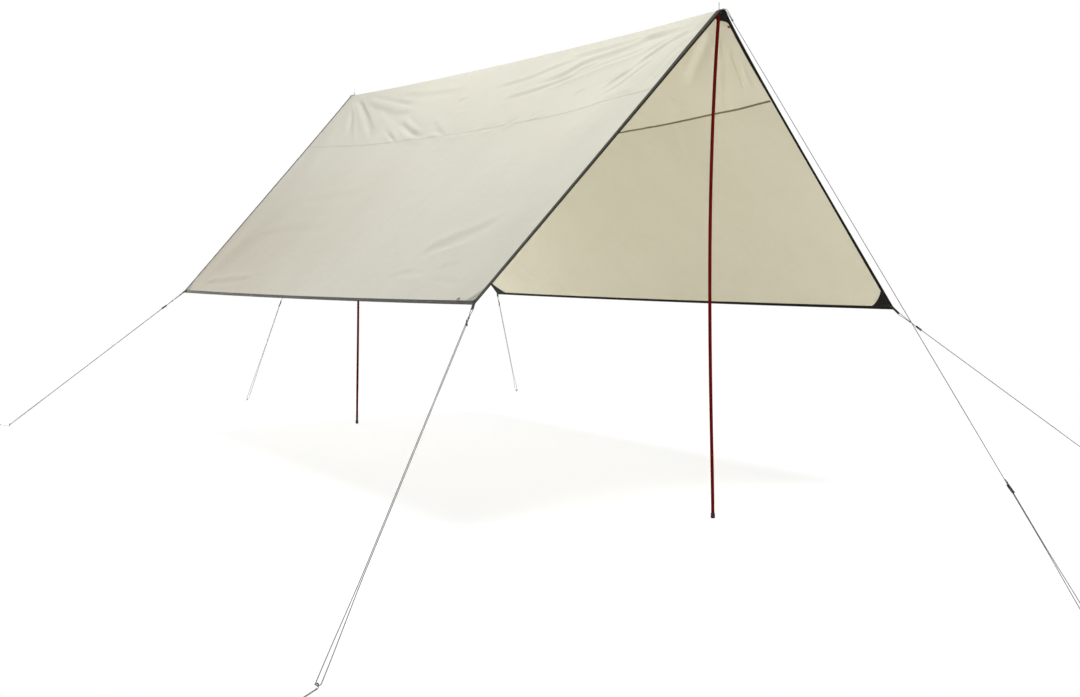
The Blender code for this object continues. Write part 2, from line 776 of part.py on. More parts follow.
class Guy:
    """The straight run of a guy line, from the end of its loop down to the peg."""

    def __init__(self, name):
        values = GUYS[name]
        self.name = name
        self.knot = values["knot"]
        self.runner = values["runner"]
        self.heading = Vector((*values["heading"], 0.0)).normalized()
        self.peg = Vector((*values["peg"], 0.0))
        self.seat = self.peg + Vector((0, 0, HOOK_CENTRE_HEIGHT))
        self.start, self.loop = self.loop_points()
        run = Vector((self.peg.x - self.start.x, self.peg.y - self.start.y, 0.0)).normalized()
        skew = abs(run.cross(self.heading).z)
        gap = CLEARANCE + 1.5 * skew * PEG_RADIUS
        held_at = self.seat - self.heading * (PEG_BEND - PEG_RADIUS - gap - CORD_RADIUS)
        self.down = (held_at - self.start).normalized()
        self.across = Vector((-self.down.y, self.down.x, 0.0)).normalized()
        self.foot = held_at - self.down * FOOT_OFFSET
        self.length = (self.foot - self.start).length

    def loop_points(self):
        """The end of the loop, and the loop's points in order round what it holds."""
        end, side = self.name.split("_")
        if side == "ridge":
            spike = Vector((0.0, OUTWARD[end] * POLE_REACH, EYELET_HEIGHT))
            rest = spike + Vector((0, 0, EYELET_OVER + EYELET_PLATE + CLEARANCE + CORD_RADIUS))
            out = Vector((self.peg.x - spike.x, self.peg.y - spike.y, 0.0)).normalized()
            across = Vector((-out.y, out.x, 0.0))
            start = rest + out * (EDGE_PAST_EYELET + 0.014) - Vector((0, 0, 0.006))
            self.loop_across = across
            return start, self.bight(rest, out, across, SPIKE_LOOP_RADIUS, (0.018, 0.034, 0.043))
        frame = corner_frame(end, side)
        out, across = frame.to_3x3().col[0], frame.to_3x3().col[1]
        self.loop_across = across
        inner_wall = WEBBING_OUTSIDE - WEBBING_THICK
        half = WEBBING_WIDTH / 2 + CLEARANCE
        rise = math.sqrt((LOOP_RADIUS - CORD_RADIUS) ** 2 - half**2)
        centre = frame.translation + out * (inner_wall + rise - 2 * CLEARANCE)
        return centre, self.bight(centre, out, across, LOOP_RADIUS, ())

    def bight(self, centre, out, across, radius, straight):
        """Half a turn round the back of the centre, with straight steps outward on both of its sides."""
        turn = [math.pi / 2 + math.pi * k / 8 for k in range(9)]
        arc = [centre + (out * math.cos(t) + across * math.sin(t)) * radius for t in turn]
        lead = [centre + out * s + across * radius for s in reversed(straight)]
        tail = [centre + out * s - across * radius for s in straight]
        return lead + arc + tail

    def at(self, distance, offset):
        """A point this far down the line, offset to the side."""
        return self.start + self.down * distance + self.across * offset

    def spread(self, distance):
        """Half the distance between the two strands, which open out near the peg."""
        from_here = SPREAD_FROM[self.name] * self.length
        return mix(STRAND_OFFSET, FOOT_OFFSET, smooth(from_here, self.length, distance))

    def strand_down(self, sign, first):
        """One strand from a place on the line down to the side of the peg's hook."""
        spread_start = SPREAD_FROM[self.name] * self.length
        stops = [first, mix(first, spread_start, 0.5), spread_start]
        stops += [mix(spread_start, self.length, share) for share in (0.2, 0.4, 0.6, 0.8, 0.95)]
        return [self.at(s, sign * self.spread(s)) for s in stops]

    def route(self):
        """The whole cord: up one side of the loop, back down through the knot, to the peg and up again."""
        knot_top, knot_end = self.knot - KNOT_LENGTH / 2, self.knot + KNOT_LENGTH / 2
        near = STRAND_OFFSET - 0.0003
        above = []
        reach = LOOP_RADIUS if not self.name.endswith("ridge") else SPIKE_LOOP_RADIUS
        for share in (0.25, 0.55, 0.85):
            spread = mix(reach, near, smooth(0.0, 1.0, share))
            above.append((mix(0.0, knot_top, share), spread))
        beside = self.loop_across

        def upper(distance, offset):
            return self.start + self.down * distance + beside * offset

        points = [upper(knot_top - 0.0008, near)]
        points += [upper(s, offset) for s, offset in reversed(above)]
        points += self.loop
        points += [upper(s, -offset) for s, offset in above]
        points.append(upper(knot_top, -near))
        swell = {}
        for share in (0.2, 0.5, 0.8):
            swell[len(points)] = KNOT_SWELL * (1.0 if share == 0.5 else 0.88)
            points.append(self.at(mix(knot_top, knot_end, share), 0.0))
        points += self.strand_down(-1, knot_end)
        for k in range(9):
            turn = -math.pi / 2 + math.pi * k / 8
            points.append(self.foot + (self.down * math.cos(turn) + self.across * math.sin(turn)) * FOOT_OFFSET)
        top = knot_end + 0.0008
        if self.name.endswith("ridge"):
            top = self.runner - RUNNER_LENGTH / 2 - 0.022
        points += reversed(self.strand_down(1, top))
        return points, swell

    def runner_frame(self, distance):
        """Frame on the line's axis: X down the line and Y across it, level."""
        upward = self.down.cross(self.across)
        frame = Matrix((self.down, self.across, upward)).transposed().to_4x4()
        frame.translation = self.at(distance, 0.0)
        return frame


# Side view of a runner in millimetres: a slim bar that crosses both strands, with a beak at its lower end
RUNNER_OUTLINE = (
    (-17.0, -5.9),
    (17.0, -0.8),
    (19.0, 0.8),
    (19.6, 3.2),
    (19.2, 7.6),
    (17.8, 8.4),
    (16.0, 7.3),
    (13.0, 5.3),
    (-17.0, 0.8),
    (-19.0, -0.6),
    (-19.6, -2.8),
    (-19.0, -4.8),
)
RUNNER_HALF_WIDTH = 0.0050
RUNNER_BORE = 0.00185
STOPPER_RADIUS = 0.0034
STOPPER_LENGTH = 0.008


def make_runner(guy, finish):
    """A moulded line runner. Each strand enters the bar at one end and leaves it through its side."""
    sections = [
        [Vector((x / 1000, y / 1000, z)) for x, y in RUNNER_OUTLINE]
        for z in (-RUNNER_HALF_WIDTH, RUNNER_HALF_WIDTH)
    ]
    frame = guy.runner_frame(guy.runner)
    body = loft(f"{guy.name}_runner", sections, finish["runner"], frame)
    bevel = body.modifiers.new("rounded_edges", "BEVEL")
    bevel.width = 0.0008
    bevel.segments = 1
    bevel.limit_method = "ANGLE"
    reach = Vector((0.025, 0, 0))
    for number, offset in enumerate((-STRAND_OFFSET, STRAND_OFFSET), start=1):
        middle = Vector((0, offset, 0))
        rod = cutter(f"{guy.name}_bore_{number}", RUNNER_BORE, middle - reach, middle + reach)
        rod.matrix_local = frame
        cut(body, rod)
    return body


def make_stopper(guy, finish):
    """The overhand knot at the cord's end, which sits on the runner's upper end."""
    centre = guy.runner_frame(guy.runner - RUNNER_LENGTH / 2 - 0.003 - STOPPER_LENGTH / 2)
    outer = STOPPER_RADIUS
    shift = STRAND_OFFSET
    half = STOPPER_LENGTH / 2
    profile = [
        (RUNNER_BORE, -half),
        (outer - 0.0008, -half),
        (outer, -half / 3),
        (outer, half / 3),
        (outer - 0.0008, half),
        (RUNNER_BORE, half),
    ]
    sideways = Matrix.Translation((0, shift, 0)) @ Matrix.Rotation(math.pi / 2, 4, "Y")
    return turned(f"{guy.name}_stopper_knot", profile, finish["cord"], 10, frame=centre @ sideways)


def make_peg(guy, finish):
    """A round steel peg lying on the ground, its hook standing up in the end of the line."""
    low = PEG_RADIUS
    route = [Vector((PEG_LENGTH, 0, low)), Vector((PEG_LENGTH - PEG_POINT, 0, low)), Vector((0.06, 0, low))]
    swell = {0: 0.3}
    for k in range(9):
        turn = -math.pi / 2 - math.pi * k / 8
        route.append(Vector((PEG_BEND * math.cos(turn), 0, low + PEG_BEND + PEG_BEND * math.sin(turn))))
    route.append(Vector((PEG_TAIL, 0, low + 2 * PEG_BEND + 0.001)))
    across = Vector((-guy.heading.y, guy.heading.x, 0))
    frame = Matrix((guy.heading, across, Vector((0, 0, 1)))).transposed().to_4x4()
    frame.translation = guy.peg
    tube(f"{guy.name}_peg", route, PEG_RADIUS, finish["steel"], swell=swell, frame=frame)


def make_guys(finish):
    for name in GUYS:
        guy = Guy(name)
        points, swell = guy.route()
        tube(f"{name}_line", points, CORD_RADIUS, finish["cord"], swell=swell)
        make_runner(guy, finish)
        if name.endswith("ridge"):
            make_stopper(guy, finish)
        make_peg(guy, finish)
        print(
            name,
            "axis",
            [round(v, 5) for v in guy.down],
            "length",
            round(guy.length, 4),
            "spread starts",
            round(SPREAD_FROM[name] * guy.length, 4),
        )


def main():
    clear_scene()
    finish = make_materials()
    make_canopy(finish)
    make_seams(finish)
    make_bindings(finish)
    make_corner_patches(finish)
    make_peak_patches(finish)
    make_eyelets(finish)
    make_webbing(finish)
    make_small_pieces(finish)
    make_poles(finish)
    make_guys(finish)


main()
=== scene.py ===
import json
import math

import bpy
import numpy as np
from mathutils import Matrix, Vector

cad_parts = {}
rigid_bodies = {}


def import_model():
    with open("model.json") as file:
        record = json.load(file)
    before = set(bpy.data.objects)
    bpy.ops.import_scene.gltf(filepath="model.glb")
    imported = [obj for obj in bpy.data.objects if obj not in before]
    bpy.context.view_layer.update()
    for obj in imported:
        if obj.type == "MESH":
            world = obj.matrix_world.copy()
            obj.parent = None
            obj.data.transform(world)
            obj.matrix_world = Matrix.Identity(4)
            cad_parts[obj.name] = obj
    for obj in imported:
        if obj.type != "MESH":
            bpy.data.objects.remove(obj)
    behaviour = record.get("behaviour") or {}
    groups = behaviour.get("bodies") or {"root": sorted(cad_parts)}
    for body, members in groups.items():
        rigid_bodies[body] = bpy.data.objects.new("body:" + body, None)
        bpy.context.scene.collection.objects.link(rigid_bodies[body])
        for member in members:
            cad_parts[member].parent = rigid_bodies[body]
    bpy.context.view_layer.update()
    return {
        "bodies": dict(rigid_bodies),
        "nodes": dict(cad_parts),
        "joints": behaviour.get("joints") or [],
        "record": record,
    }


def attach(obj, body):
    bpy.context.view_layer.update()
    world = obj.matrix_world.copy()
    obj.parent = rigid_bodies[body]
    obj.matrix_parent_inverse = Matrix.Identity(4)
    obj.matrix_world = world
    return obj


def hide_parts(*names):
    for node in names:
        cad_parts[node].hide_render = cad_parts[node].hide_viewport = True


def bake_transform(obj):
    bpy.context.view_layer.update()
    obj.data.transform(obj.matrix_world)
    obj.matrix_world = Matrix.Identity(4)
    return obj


for thing in list(bpy.data.objects):  # an empty scene to start with
    bpy.data.objects.remove(thing)
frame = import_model()
nodes = frame["nodes"]
print("frame loaded:", len(nodes), "nodes")

# Where the tarp stands: metres, ridge along Y, front at -Y, left slope at -X
pitch = {
    "eyeletHeight": 2.400,
    "poleReach": 2.047,
    "edgePastEyelet": 0.038,
    "corners": {
        ("front", "left"): (-1.294, -2.004, 1.051),
        ("rear", "left"): (-1.287, 2.035, 0.989),
        ("front", "right"): (1.243, -2.016, 0.976),
        ("rear", "right"): (1.210, 2.054, 0.938),
    },
}
outward = {"left": -1, "right": 1, "front": -1, "rear": 1}
ridgeEnd = pitch["poleReach"] + pitch["edgePastEyelet"]
ridgeLength = 2 * ridgeEnd


def smoothStep(low, high, value):
    t = np.clip((value - low) / (high - low), 0, 1)
    return t * t * (3 - 2 * t)


def mixed(start, end, share):
    return start + (end - start) * share


def unit(vectors):
    return vectors / np.maximum(np.linalg.norm(vectors, axis=-1, keepdims=True), 1e-12)


def turnsOf(count):
    return [2 * math.pi * k / count for k in range(count)]


def linked(name, data):
    thing = bpy.data.objects.new(name, data)
    bpy.context.scene.collection.objects.link(thing)
    return thing


# A matrix from its three axes and its place
def framed(axes, place):
    frame = Matrix(axes).transposed().to_4x4()
    frame.translation = place
    return frame


# Camera
cameraSet = {
    "place": (-4.0857, -6.9566, 1.2829),
    "turn": -32.271,  # degrees from +Y
    "down": 4.224,
    "roll": 0.144,
    "lens": 44.43,  # mm, on a 36 mm wide sensor
}


def addCamera():
    turn, down, roll = (math.radians(cameraSet[key]) for key in ("turn", "down", "roll"))
    ahead = Vector((-math.sin(turn) * math.cos(down), math.cos(turn) * math.cos(down), -math.sin(down)))
    level = ahead.cross(Vector((0, 0, 1))).normalized()
    up = level.cross(ahead)
    right = level * math.cos(roll) + up * math.sin(roll)
    above = up * math.cos(roll) - level * math.sin(roll)
    lens = bpy.data.cameras.new("camera")
    lens.sensor_fit = "HORIZONTAL"
    lens.sensor_width = 36
    lens.lens = cameraSet["lens"]
    lens.clip_start, lens.clip_end = 0.05, 400
    camera = linked("camera", lens)
    camera.matrix_world = framed((right, above, -ahead), cameraSet["place"])
    bpy.context.scene.camera = camera


addCamera()
print("camera placed")


# Node helpers
def putNode(tree, kind, inputs=None, **settings):
    node = tree.nodes.new(kind)
    for name, value in settings.items():
        setattr(node, name, value)
    for socket, value in (inputs or {}).items():
        if isinstance(value, bpy.types.NodeSocket):
            tree.links.new(value, node.inputs[socket])
        else:
            node.inputs[socket].default_value = value
    return node


def maths(tree, operation, *values, clamp=False):
    return putNode(tree, "ShaderNodeMath", dict(enumerate(values)), operation=operation, use_clamp=clamp).outputs[0]


def vectorMaths(tree, operation, first, second):
    return putNode(tree, "ShaderNodeVectorMath", {0: first, 1: second}, operation=operation).outputs[0]


def noiseOf(tree, vector, scale, detail=2.0, rough=0.5):
    inputs = {"Vector": vector, "Scale": scale, "Detail": detail, "Roughness": rough}
    return putNode(tree, "ShaderNodeTexNoise", inputs).outputs[0]


def blendColours(tree, share, first, second):
    return putNode(tree, "ShaderNodeMix", {0: share, 6: first, 7: second}, data_type="RGBA").outputs[2]


def axesOf(tree, vector):
    return putNode(tree, "ShaderNodeSeparateXYZ", {0: vector}).outputs


def attributeOf(tree, name):
    return putNode(tree, "ShaderNodeAttribute", attribute_name=name).outputs["Fac"]


def newGroup(name, inputs, outputs):
    group = bpy.data.node_groups.new(name, "ShaderNodeTree")
    for title, kind, value in inputs:
        socket = group.interface.new_socket(title, in_out="INPUT", socket_type="NodeSocket" + kind)
        if value is not None:
            socket.default_value = value
    for title in outputs:
        group.interface.new_socket(title, in_out="OUTPUT", socket_type="NodeSocketFloat")
    taken = group.nodes.new("NodeGroupInput")
    given = group.nodes.new("NodeGroupOutput")
    return group, taken.outputs, given.inputs


# Over and under of the threads, with thicker ones here and there
def makeWeave():
    group, taken, given = newGroup(
        "weave", [("Vector", "Vector", None), ("Threads", "Float", 1600.0), ("Slubs", "Float", 0.5)], ["Height", "Tone"]
    )
    scaled = putNode(group, "ShaderNodeVectorMath", {0: taken["Vector"], "Scale": taken["Threads"]}, operation="SCALE")
    axes = axesOf(group, scaled.outputs[0])
    across = maths(group, "SINE", maths(group, "MULTIPLY", axes[0], math.pi))
    along = maths(group, "SINE", maths(group, "MULTIPLY", axes[1], math.pi))
    height = maths(group, "MULTIPLY_ADD", maths(group, "MULTIPLY", across, along), 0.5, 0.5)
    warp = noiseOf(group, vectorMaths(group, "MULTIPLY", scaled.outputs[0], (0.012, 0.30, 0.30)), 1.0)
    weft = noiseOf(group, vectorMaths(group, "MULTIPLY", scaled.outputs[0], (0.30, 0.012, 0.30)), 1.0)
    uneven = maths(group, "SUBTRACT", maths(group, "ADD", warp, weft), 1.0)
    slubs = maths(group, "MULTIPLY", uneven, taken["Slubs"])
    group.links.new(maths(group, "ADD", height, slubs), given["Height"])
    tone = maths(group, "MULTIPLY_ADD", height, 0.15, maths(group, "MULTIPLY_ADD", slubs, 0.8, 0.42))
    group.links.new(tone, given["Tone"])
    return group


# Broad and fine unevenness of a surface's tone, from 0 to 1
def makeMottle():
    group, taken, given = newGroup("mottle", [("Vector", "Vector", None), ("Scale", "Float", 3.0)], ["Tone"])
    broad = noiseOf(group, taken["Vector"], taken["Scale"], 3.0, 0.55)
    fine = noiseOf(group, taken["Vector"], maths(group, "MULTIPLY", taken["Scale"], 9.0), 3.0, 0.6)
    both = maths(group, "MULTIPLY_ADD", fine, 0.35, maths(group, "MULTIPLY", broad, 0.65))
    sharper = maths(group, "MULTIPLY_ADD", maths(group, "SUBTRACT", both, 0.5), 2.2, 0.5, clamp=True)
    group.links.new(sharper, given["Tone"])
    return group


# Two sets of strands that wind round a cord in opposite directions
def makeBraid():
    group, taken, given = newGroup(
        "braid", [("Vector", "Vector", None), ("Turn", "Float", 0.009), ("Strands", "Float", 8.0)], ["Height", "Fleck"]
    )
    axes = axesOf(group, taken["Vector"])
    run = maths(group, "DIVIDE", axes[0], taken["Turn"])
    around = maths(group, "MULTIPLY", axes[1], taken["Strands"])
    waves = []
    for operation in ("ADD", "SUBTRACT"):
        turn = maths(group, "MULTIPLY", maths(group, operation, around, run), 2 * math.pi)
        waves.append(maths(group, "SINE", turn))
    height = maths(group, "MAXIMUM", waves[0], waves[1])
    group.links.new(maths(group, "MULTIPLY_ADD", height, 0.5, 0.5), given["Height"])
    group.links.new(maths(group, "GREATER_THAN", maths(group, "MULTIPLY", waves[0], waves[1]), 0.82), given["Fleck"])
    return group


# Where a hard surface is scuffed, from 0 to 1
def makeScuffs():
    group, taken, given = newGroup(
        "scuffs", [("Vector", "Vector", None), ("Scale", "Float", 60.0), ("Amount", "Float", 0.3)], ["Mask"]
    )
    drawn = vectorMaths(group, "MULTIPLY", taken["Vector"], (1.0, 1.0, 0.18))
    streaks = noiseOf(group, drawn, taken["Scale"], 5.0, 0.65)
    edge = maths(group, "SUBTRACT", 0.78, maths(group, "MULTIPLY", taken["Amount"], 0.4))
    group.links.new(maths(group, "MULTIPLY", maths(group, "SUBTRACT", streaks, edge), 9.0, clamp=True), given["Mask"])
    return group


groups = {"weave": makeWeave(), "mottle": makeMottle(), "braid": makeBraid(), "scuffs": makeScuffs()}


def useGroup(tree, name, **inputs):
    return putNode(tree, "ShaderNodeGroup", inputs, node_tree=groups[name]).outputs


finish = {}


def newMaterial(name, roughness, metallic=0.0, **sockets):
    made = finish[name] = bpy.data.materials.new(name)
    made.use_nodes = True
    tree = made.node_tree
    shader = tree.nodes["Principled BSDF"]
    shader.inputs["Roughness"].default_value = roughness
    shader.inputs["Metallic"].default_value = metallic
    for title, value in sockets.items():
        shader.inputs[title.replace("_", " ")].default_value = value
    return tree, shader


def ownPlace(tree):
    return putNode(tree, "ShaderNodeTexCoord").outputs["Object"]


def flatPlace(tree):
    return putNode(tree, "ShaderNodeUVMap", uv_map="flat").outputs[0]


def bumpOf(tree, height, distance, before=None):
    inputs = {"Height": height, "Distance": distance, "Strength": 1.0}
    if before is not None:
        inputs["Normal"] = before
    return putNode(tree, "ShaderNodeBump", inputs).outputs[0]


def fabric(name, roughness, gloss):
    return newMaterial(name, roughness, Sheen_Weight=gloss / 4, Sheen_Roughness=0.5, Specular_IOR_Level=gloss)


# Between a dark and a light colour, by the mottle and by a finer pattern with the rest of the share
def toned(tree, dark, light, tone, share, pattern):
    finer = maths(tree, "MULTIPLY", pattern, 1 - share)
    both = maths(tree, "MULTIPLY_ADD", tone, share, finer, clamp=True)
    return blendColours(tree, both, (*dark, 1), (*light, 1))


def wire(tree, shader, **sockets):
    for title, value in sockets.items():
        tree.links.new(value, shader.inputs[title.replace("_", " ")])


# Painted shade: the outer cloth's colour turns warmer and darker towards the low rear corners: metres along and up over
# which it comes
shadeSet = {"colour": (0.87, 0.83, 0.78), "along": (-0.6, 1.8), "up": (1.2, 1.95)}


def shadedColour(tree, colour):
    axes = axesOf(tree, ownPlace(tree))
    eased = []
    for axis, key in ((1, "along"), (2, "up")):
        low, high = shadeSet[key]
        ramp = putNode(tree, "ShaderNodeMapRange", {0: axes[axis], 1: low, 2: high}, interpolation_type="SMOOTHSTEP")
        eased.append(ramp.outputs[0])
    share = maths(tree, "MULTIPLY", eased[0], maths(tree, "SUBTRACT", 1.0, eased[1]))
    inputs = {0: share, 6: colour, 7: (*shadeSet["colour"], 1)}
    return putNode(tree, "ShaderNodeMix", inputs, data_type="RGBA", blend_type="MULTIPLY").outputs[2]


def clothMaterial(name, light, dark, threads, roughness, relief=1.0, mottle=2.4, pucker=True, outer=False, gloss=0.2):
    tree, shader = fabric(name, roughness, gloss)
    flat = flatPlace(tree)
    weave = useGroup(tree, "weave", Vector=flat, Threads=threads, Slubs=0.5)
    tone = useGroup(tree, "mottle", Vector=ownPlace(tree), Scale=mottle)["Tone"]
    colour = toned(tree, dark, light, tone, 0.6, weave["Tone"])
    if outer:  # dark patches behind it show through
        backed = attributeOf(tree, "behind")
        speckle = noiseOf(tree, flat, 420.0, 2.0, 0.7)
        shown = maths(tree, "MULTIPLY", backed, maths(tree, "MULTIPLY_ADD", speckle, 1.8, -0.42, clamp=True))
        colour = blendColours(tree, maths(tree, "MULTIPLY", shown, 1.0), colour, (0.06, 0.058, 0.052, 1))
        # painted shade: the colour turns warmer and darker towards the low rear corners
        colour = shadedColour(tree, colour)
    normal = None
    if relief:
        soft = noiseOf(tree, flat, 3.5, 3.0, 0.5)
        normal = bumpOf(tree, soft, 0.010 * relief)
        creases = noiseOf(tree, vectorMaths(tree, "MULTIPLY", flat, (1.0, 2.4, 1.0)), 14.0, 2.0, 0.45)
        normal = bumpOf(tree, creases, 0.0012 * relief, normal)
    if pucker:
        near = attributeOf(tree, "nearSeam")
        ripples = noiseOf(tree, vectorMaths(tree, "MULTIPLY", flat, (62.0, 9.0, 1.0)), 1.0, 1.0)
        normal = bumpOf(tree, maths(tree, "MULTIPLY", ripples, near), 0.0035, normal)
    normal = bumpOf(tree, weave["Height"], 0.00012, normal)
    rough = maths(tree, "MULTIPLY_ADD", tone, 0.08, roughness - 0.04)
    wire(tree, shader, Base_Color=colour, Normal=normal, Roughness=rough)


# A ribbed tape or strap: ribs run across its length
def tapeMaterial(name, light, dark, ribs, roughness, gloss=0.15):
    tree, shader = fabric(name, roughness, gloss)
    flat = flatPlace(tree)
    weave = useGroup(tree, "weave", Vector=flat, Threads=ribs * 2.0, Slubs=0.35)
    rib = maths(tree, "SINE", maths(tree, "MULTIPLY", axesOf(tree, flat)[0], ribs * 2 * math.pi))
    tone = useGroup(tree, "mottle", Vector=ownPlace(tree), Scale=7.0)["Tone"]
    colour = toned(tree, dark, light, tone, 0.7, weave["Tone"])
    normal = bumpOf(tree, maths(tree, "MULTIPLY_ADD", rib, 0.35, weave["Height"]), 0.00016)
    rough = maths(tree, "MULTIPLY_ADD", tone, 0.1, roughness - 0.05)
    wire(tree, shader, Base_Color=colour, Normal=normal, Roughness=rough)


def cordMaterial(name, light, dark, fleck, turn, strands):
    tree, shader = newMaterial(name, 0.7, Sheen_Weight=0.15, Sheen_Roughness=0.4)
    braid = useGroup(tree, "braid", Vector=flatPlace(tree), Turn=turn, Strands=strands)
    tone = useGroup(tree, "mottle", Vector=ownPlace(tree), Scale=9.0)["Tone"]
    base = toned(tree, dark, light, tone, 0.35, braid["Height"])
    colour = blendColours(tree, braid["Fleck"], base, (*fleck, 1))
    normal = bumpOf(tree, braid["Height"], 0.00025)
    wire(tree, shader, Base_Color=colour, Normal=normal, Roughness=maths(tree, "MULTIPLY_ADD", tone, 0.12, 0.64))


# Metal, rubber and moulded plastic: grain, scuffs, uneven gloss
def hardMaterial(name, base, worn, roughness, metallic, grain, wear, scale=60.0, **sockets):
    tree, shader = newMaterial(name, roughness, metallic, **sockets)
    place = ownPlace(tree)
    scuffed = useGroup(tree, "scuffs", Vector=place, Scale=scale, Amount=wear)["Mask"]
    tone = useGroup(tree, "mottle", Vector=place, Scale=scale / 4)["Tone"]
    colour = blendColours(tree, tone, (*[value * 0.82 for value in base], 1), (*base, 1))
    colour = blendColours(tree, scuffed, colour, (*worn, 1))
    rough = maths(tree, "MULTIPLY_ADD", tone, 0.12, roughness - 0.06)
    rough = maths(tree, "MULTIPLY_ADD", scuffed, 0.18, rough, clamp=True)
    fine = noiseOf(tree, place, grain, 3.0, 0.6)
    normal = bumpOf(tree, fine, 0.00006, bumpOf(tree, scuffed, -0.00004))
    wire(tree, shader, Base_Color=colour, Normal=normal, Roughness=rough)


clothMaterial("outerCloth", (0.620, 0.603, 0.518), (0.562, 0.545, 0.458), 1500, 0.82, 0.7, outer=True)
# painted light: the inside face of the cloth is lighter and warmer than the outside, for light coming through it
clothMaterial("innerClothPaintedLight", (0.700, 0.665, 0.518), (0.634, 0.600, 0.453), 1500, 0.84)
# painted light: a still lighter copy of the inner cloth for the inside of the centre strip
clothMaterial("innerRidgePaintedLight", (0.762, 0.724, 0.575), (0.690, 0.653, 0.503), 1500, 0.84)
# painted shade: the seam lap outside is a darker copy of the outer cloth
clothMaterial("seamOuterPaintedShade", (0.58, 0.562, 0.472), (0.51, 0.492, 0.405), 1500, 0.84, 0, 9, False)
clothMaterial("seamInner", (0.245, 0.190, 0.092), (0.185, 0.140, 0.064), 1500, 0.85, 0, 9, False)
clothMaterial("patchCloth", (0.013, 0.012, 0.010), (0.007, 0.0065, 0.0055), 900, 0.8, 0.3, 9, False, gloss=0.06)
tapeMaterial("tapeOuter", (0.058, 0.055, 0.043), (0.037, 0.034, 0.026), 900, 0.78)
# painted shade: a near black copy of the tape for its inner face and the turned-down rim
tapeMaterial("tapeInnerPaintedShade", (0.014, 0.011, 0.006), (0.007, 0.0055, 0.003), 900, 0.85, 0.06)
tapeMaterial("webbing", (0.024, 0.024, 0.025), (0.010, 0.010, 0.011), 600, 0.72)
tapeMaterial("tagWeave", (0.26, 0.062, 0.024), (0.17, 0.036, 0.014), 1200, 0.7)
cordMaterial("guyCord", (0.105, 0.103, 0.100), (0.034, 0.033, 0.032), (0.34, 0.34, 0.33), 0.009, 8)
cordMaterial("elasticCord", (0.030, 0.028, 0.025), (0.010, 0.009, 0.008), (0.08, 0.075, 0.065), 0.005, 6)
cordMaterial("outerThread", (0.46, 0.44, 0.36), (0.34, 0.32, 0.26), (0.55, 0.53, 0.45), 0.001, 2)
cordMaterial("darkThread", (0.07, 0.065, 0.06), (0.03, 0.028, 0.026), (0.12, 0.11, 0.10), 0.001, 2)
hardMaterial("pole", (0.105, 0.0050, 0.0032), (0.24, 0.05, 0.035), 0.5, 0.3, 900, 0.05, 40.0,
             Specular_IOR_Level=0.0, Specular_Tint=(0.75, 0.12, 0.08, 1.0))
hardMaterial("runner", (0.016, 0.016, 0.017), (0.050, 0.050, 0.052), 0.42, 0.0, 2400, 0.35, 220.0,
             Specular_IOR_Level=0.3)
hardMaterial("cap", (0.016, 0.016, 0.016), (0.060, 0.056, 0.050), 0.72, 0.0, 3000, 0.45, 160.0,
             Specular_IOR_Level=0.25)
hardMaterial("pegSteel", (0.17, 0.17, 0.175), (0.11, 0.10, 0.09), 0.34, 1.0, 1600, 0.4, 110.0)
hardMaterial("spikeSteel", (0.58, 0.58, 0.58), (0.40, 0.39, 0.37), 0.28, 1.0, 1600, 0.3, 160.0)
hardMaterial("eyelet", (0.60, 0.59, 0.56), (0.34, 0.32, 0.28), 0.30, 1.0, 1600, 0.3, 200.0)
print("materials made:", len(finish))


# Mesh helpers: a finished piece takes a node's place, on a body
def standsFor(piece, node, body="tarp"):
    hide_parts(node)
    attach(piece, body)


def cutWith(piece, rod):
    cutting = piece.modifiers.new("cut", "BOOLEAN")
    cutting.operation, cutting.solver, cutting.object = "DIFFERENCE", "EXACT", rod
    depsgraph = bpy.context.evaluated_depsgraph_get()
    mesh = bpy.data.meshes.new_from_object(piece.evaluated_get(depsgraph))
    piece.modifiers.remove(cutting)
    piece.data = mesh
    bpy.data.objects.remove(rod)


def newPiece(name, points, faces, materials, flat=None, values=None, faceMaterial=None, smoothTo=40):
    mesh = bpy.data.meshes.new(name)
    mesh.from_pydata(np.asarray(points, float).reshape(-1, 3).tolist(), [], faces)
    for material in materials:
        mesh.materials.append(finish[material])
    if faceMaterial is not None:
        mesh.polygons.foreach_set("material_index", np.asarray(faceMaterial, np.int32))
    if flat is not None:
        corners = np.zeros(len(mesh.loops), np.int32)
        mesh.loops.foreach_get("vertex_index", corners)
        layer = mesh.uv_layers.new(name="flat")
        layer.data.foreach_set("uv", np.asarray(flat, np.float32).reshape(-1, 2)[corners].ravel())
    for title, value in (values or {}).items():
        attribute = mesh.attributes.new(title, "FLOAT", "POINT")
        attribute.data.foreach_set("value", np.asarray(value, np.float32).ravel())
    mesh.shade_smooth()
    mesh.set_sharp_from_angle(angle=math.radians(smoothTo))
    return linked(name, mesh)


def turnedOutward(faces, points):
    # faces of a closed shell, reversed together where it encloses a negative volume
    volume = 0.0
    for face in faces:
        first = points[face[0]]
        for second, third in zip(face[1:-1], face[2:]):
            volume += float(np.dot(first, np.cross(points[second], points[third])))
    return faces if volume > 0 else [face[::-1] for face in faces]


def quadsOf(rows, columns, closed=False, start=0):
    i, j = np.meshgrid(np.arange(rows - 1), np.arange(columns if closed else columns - 1), indexing="ij")
    after = (j + 1) % columns
    at = [start + r * columns + c for r, c in ((i, j), (i + 1, j), (i + 1, after), (i, after))]
    return np.stack(at, -1).reshape(-1, 4)


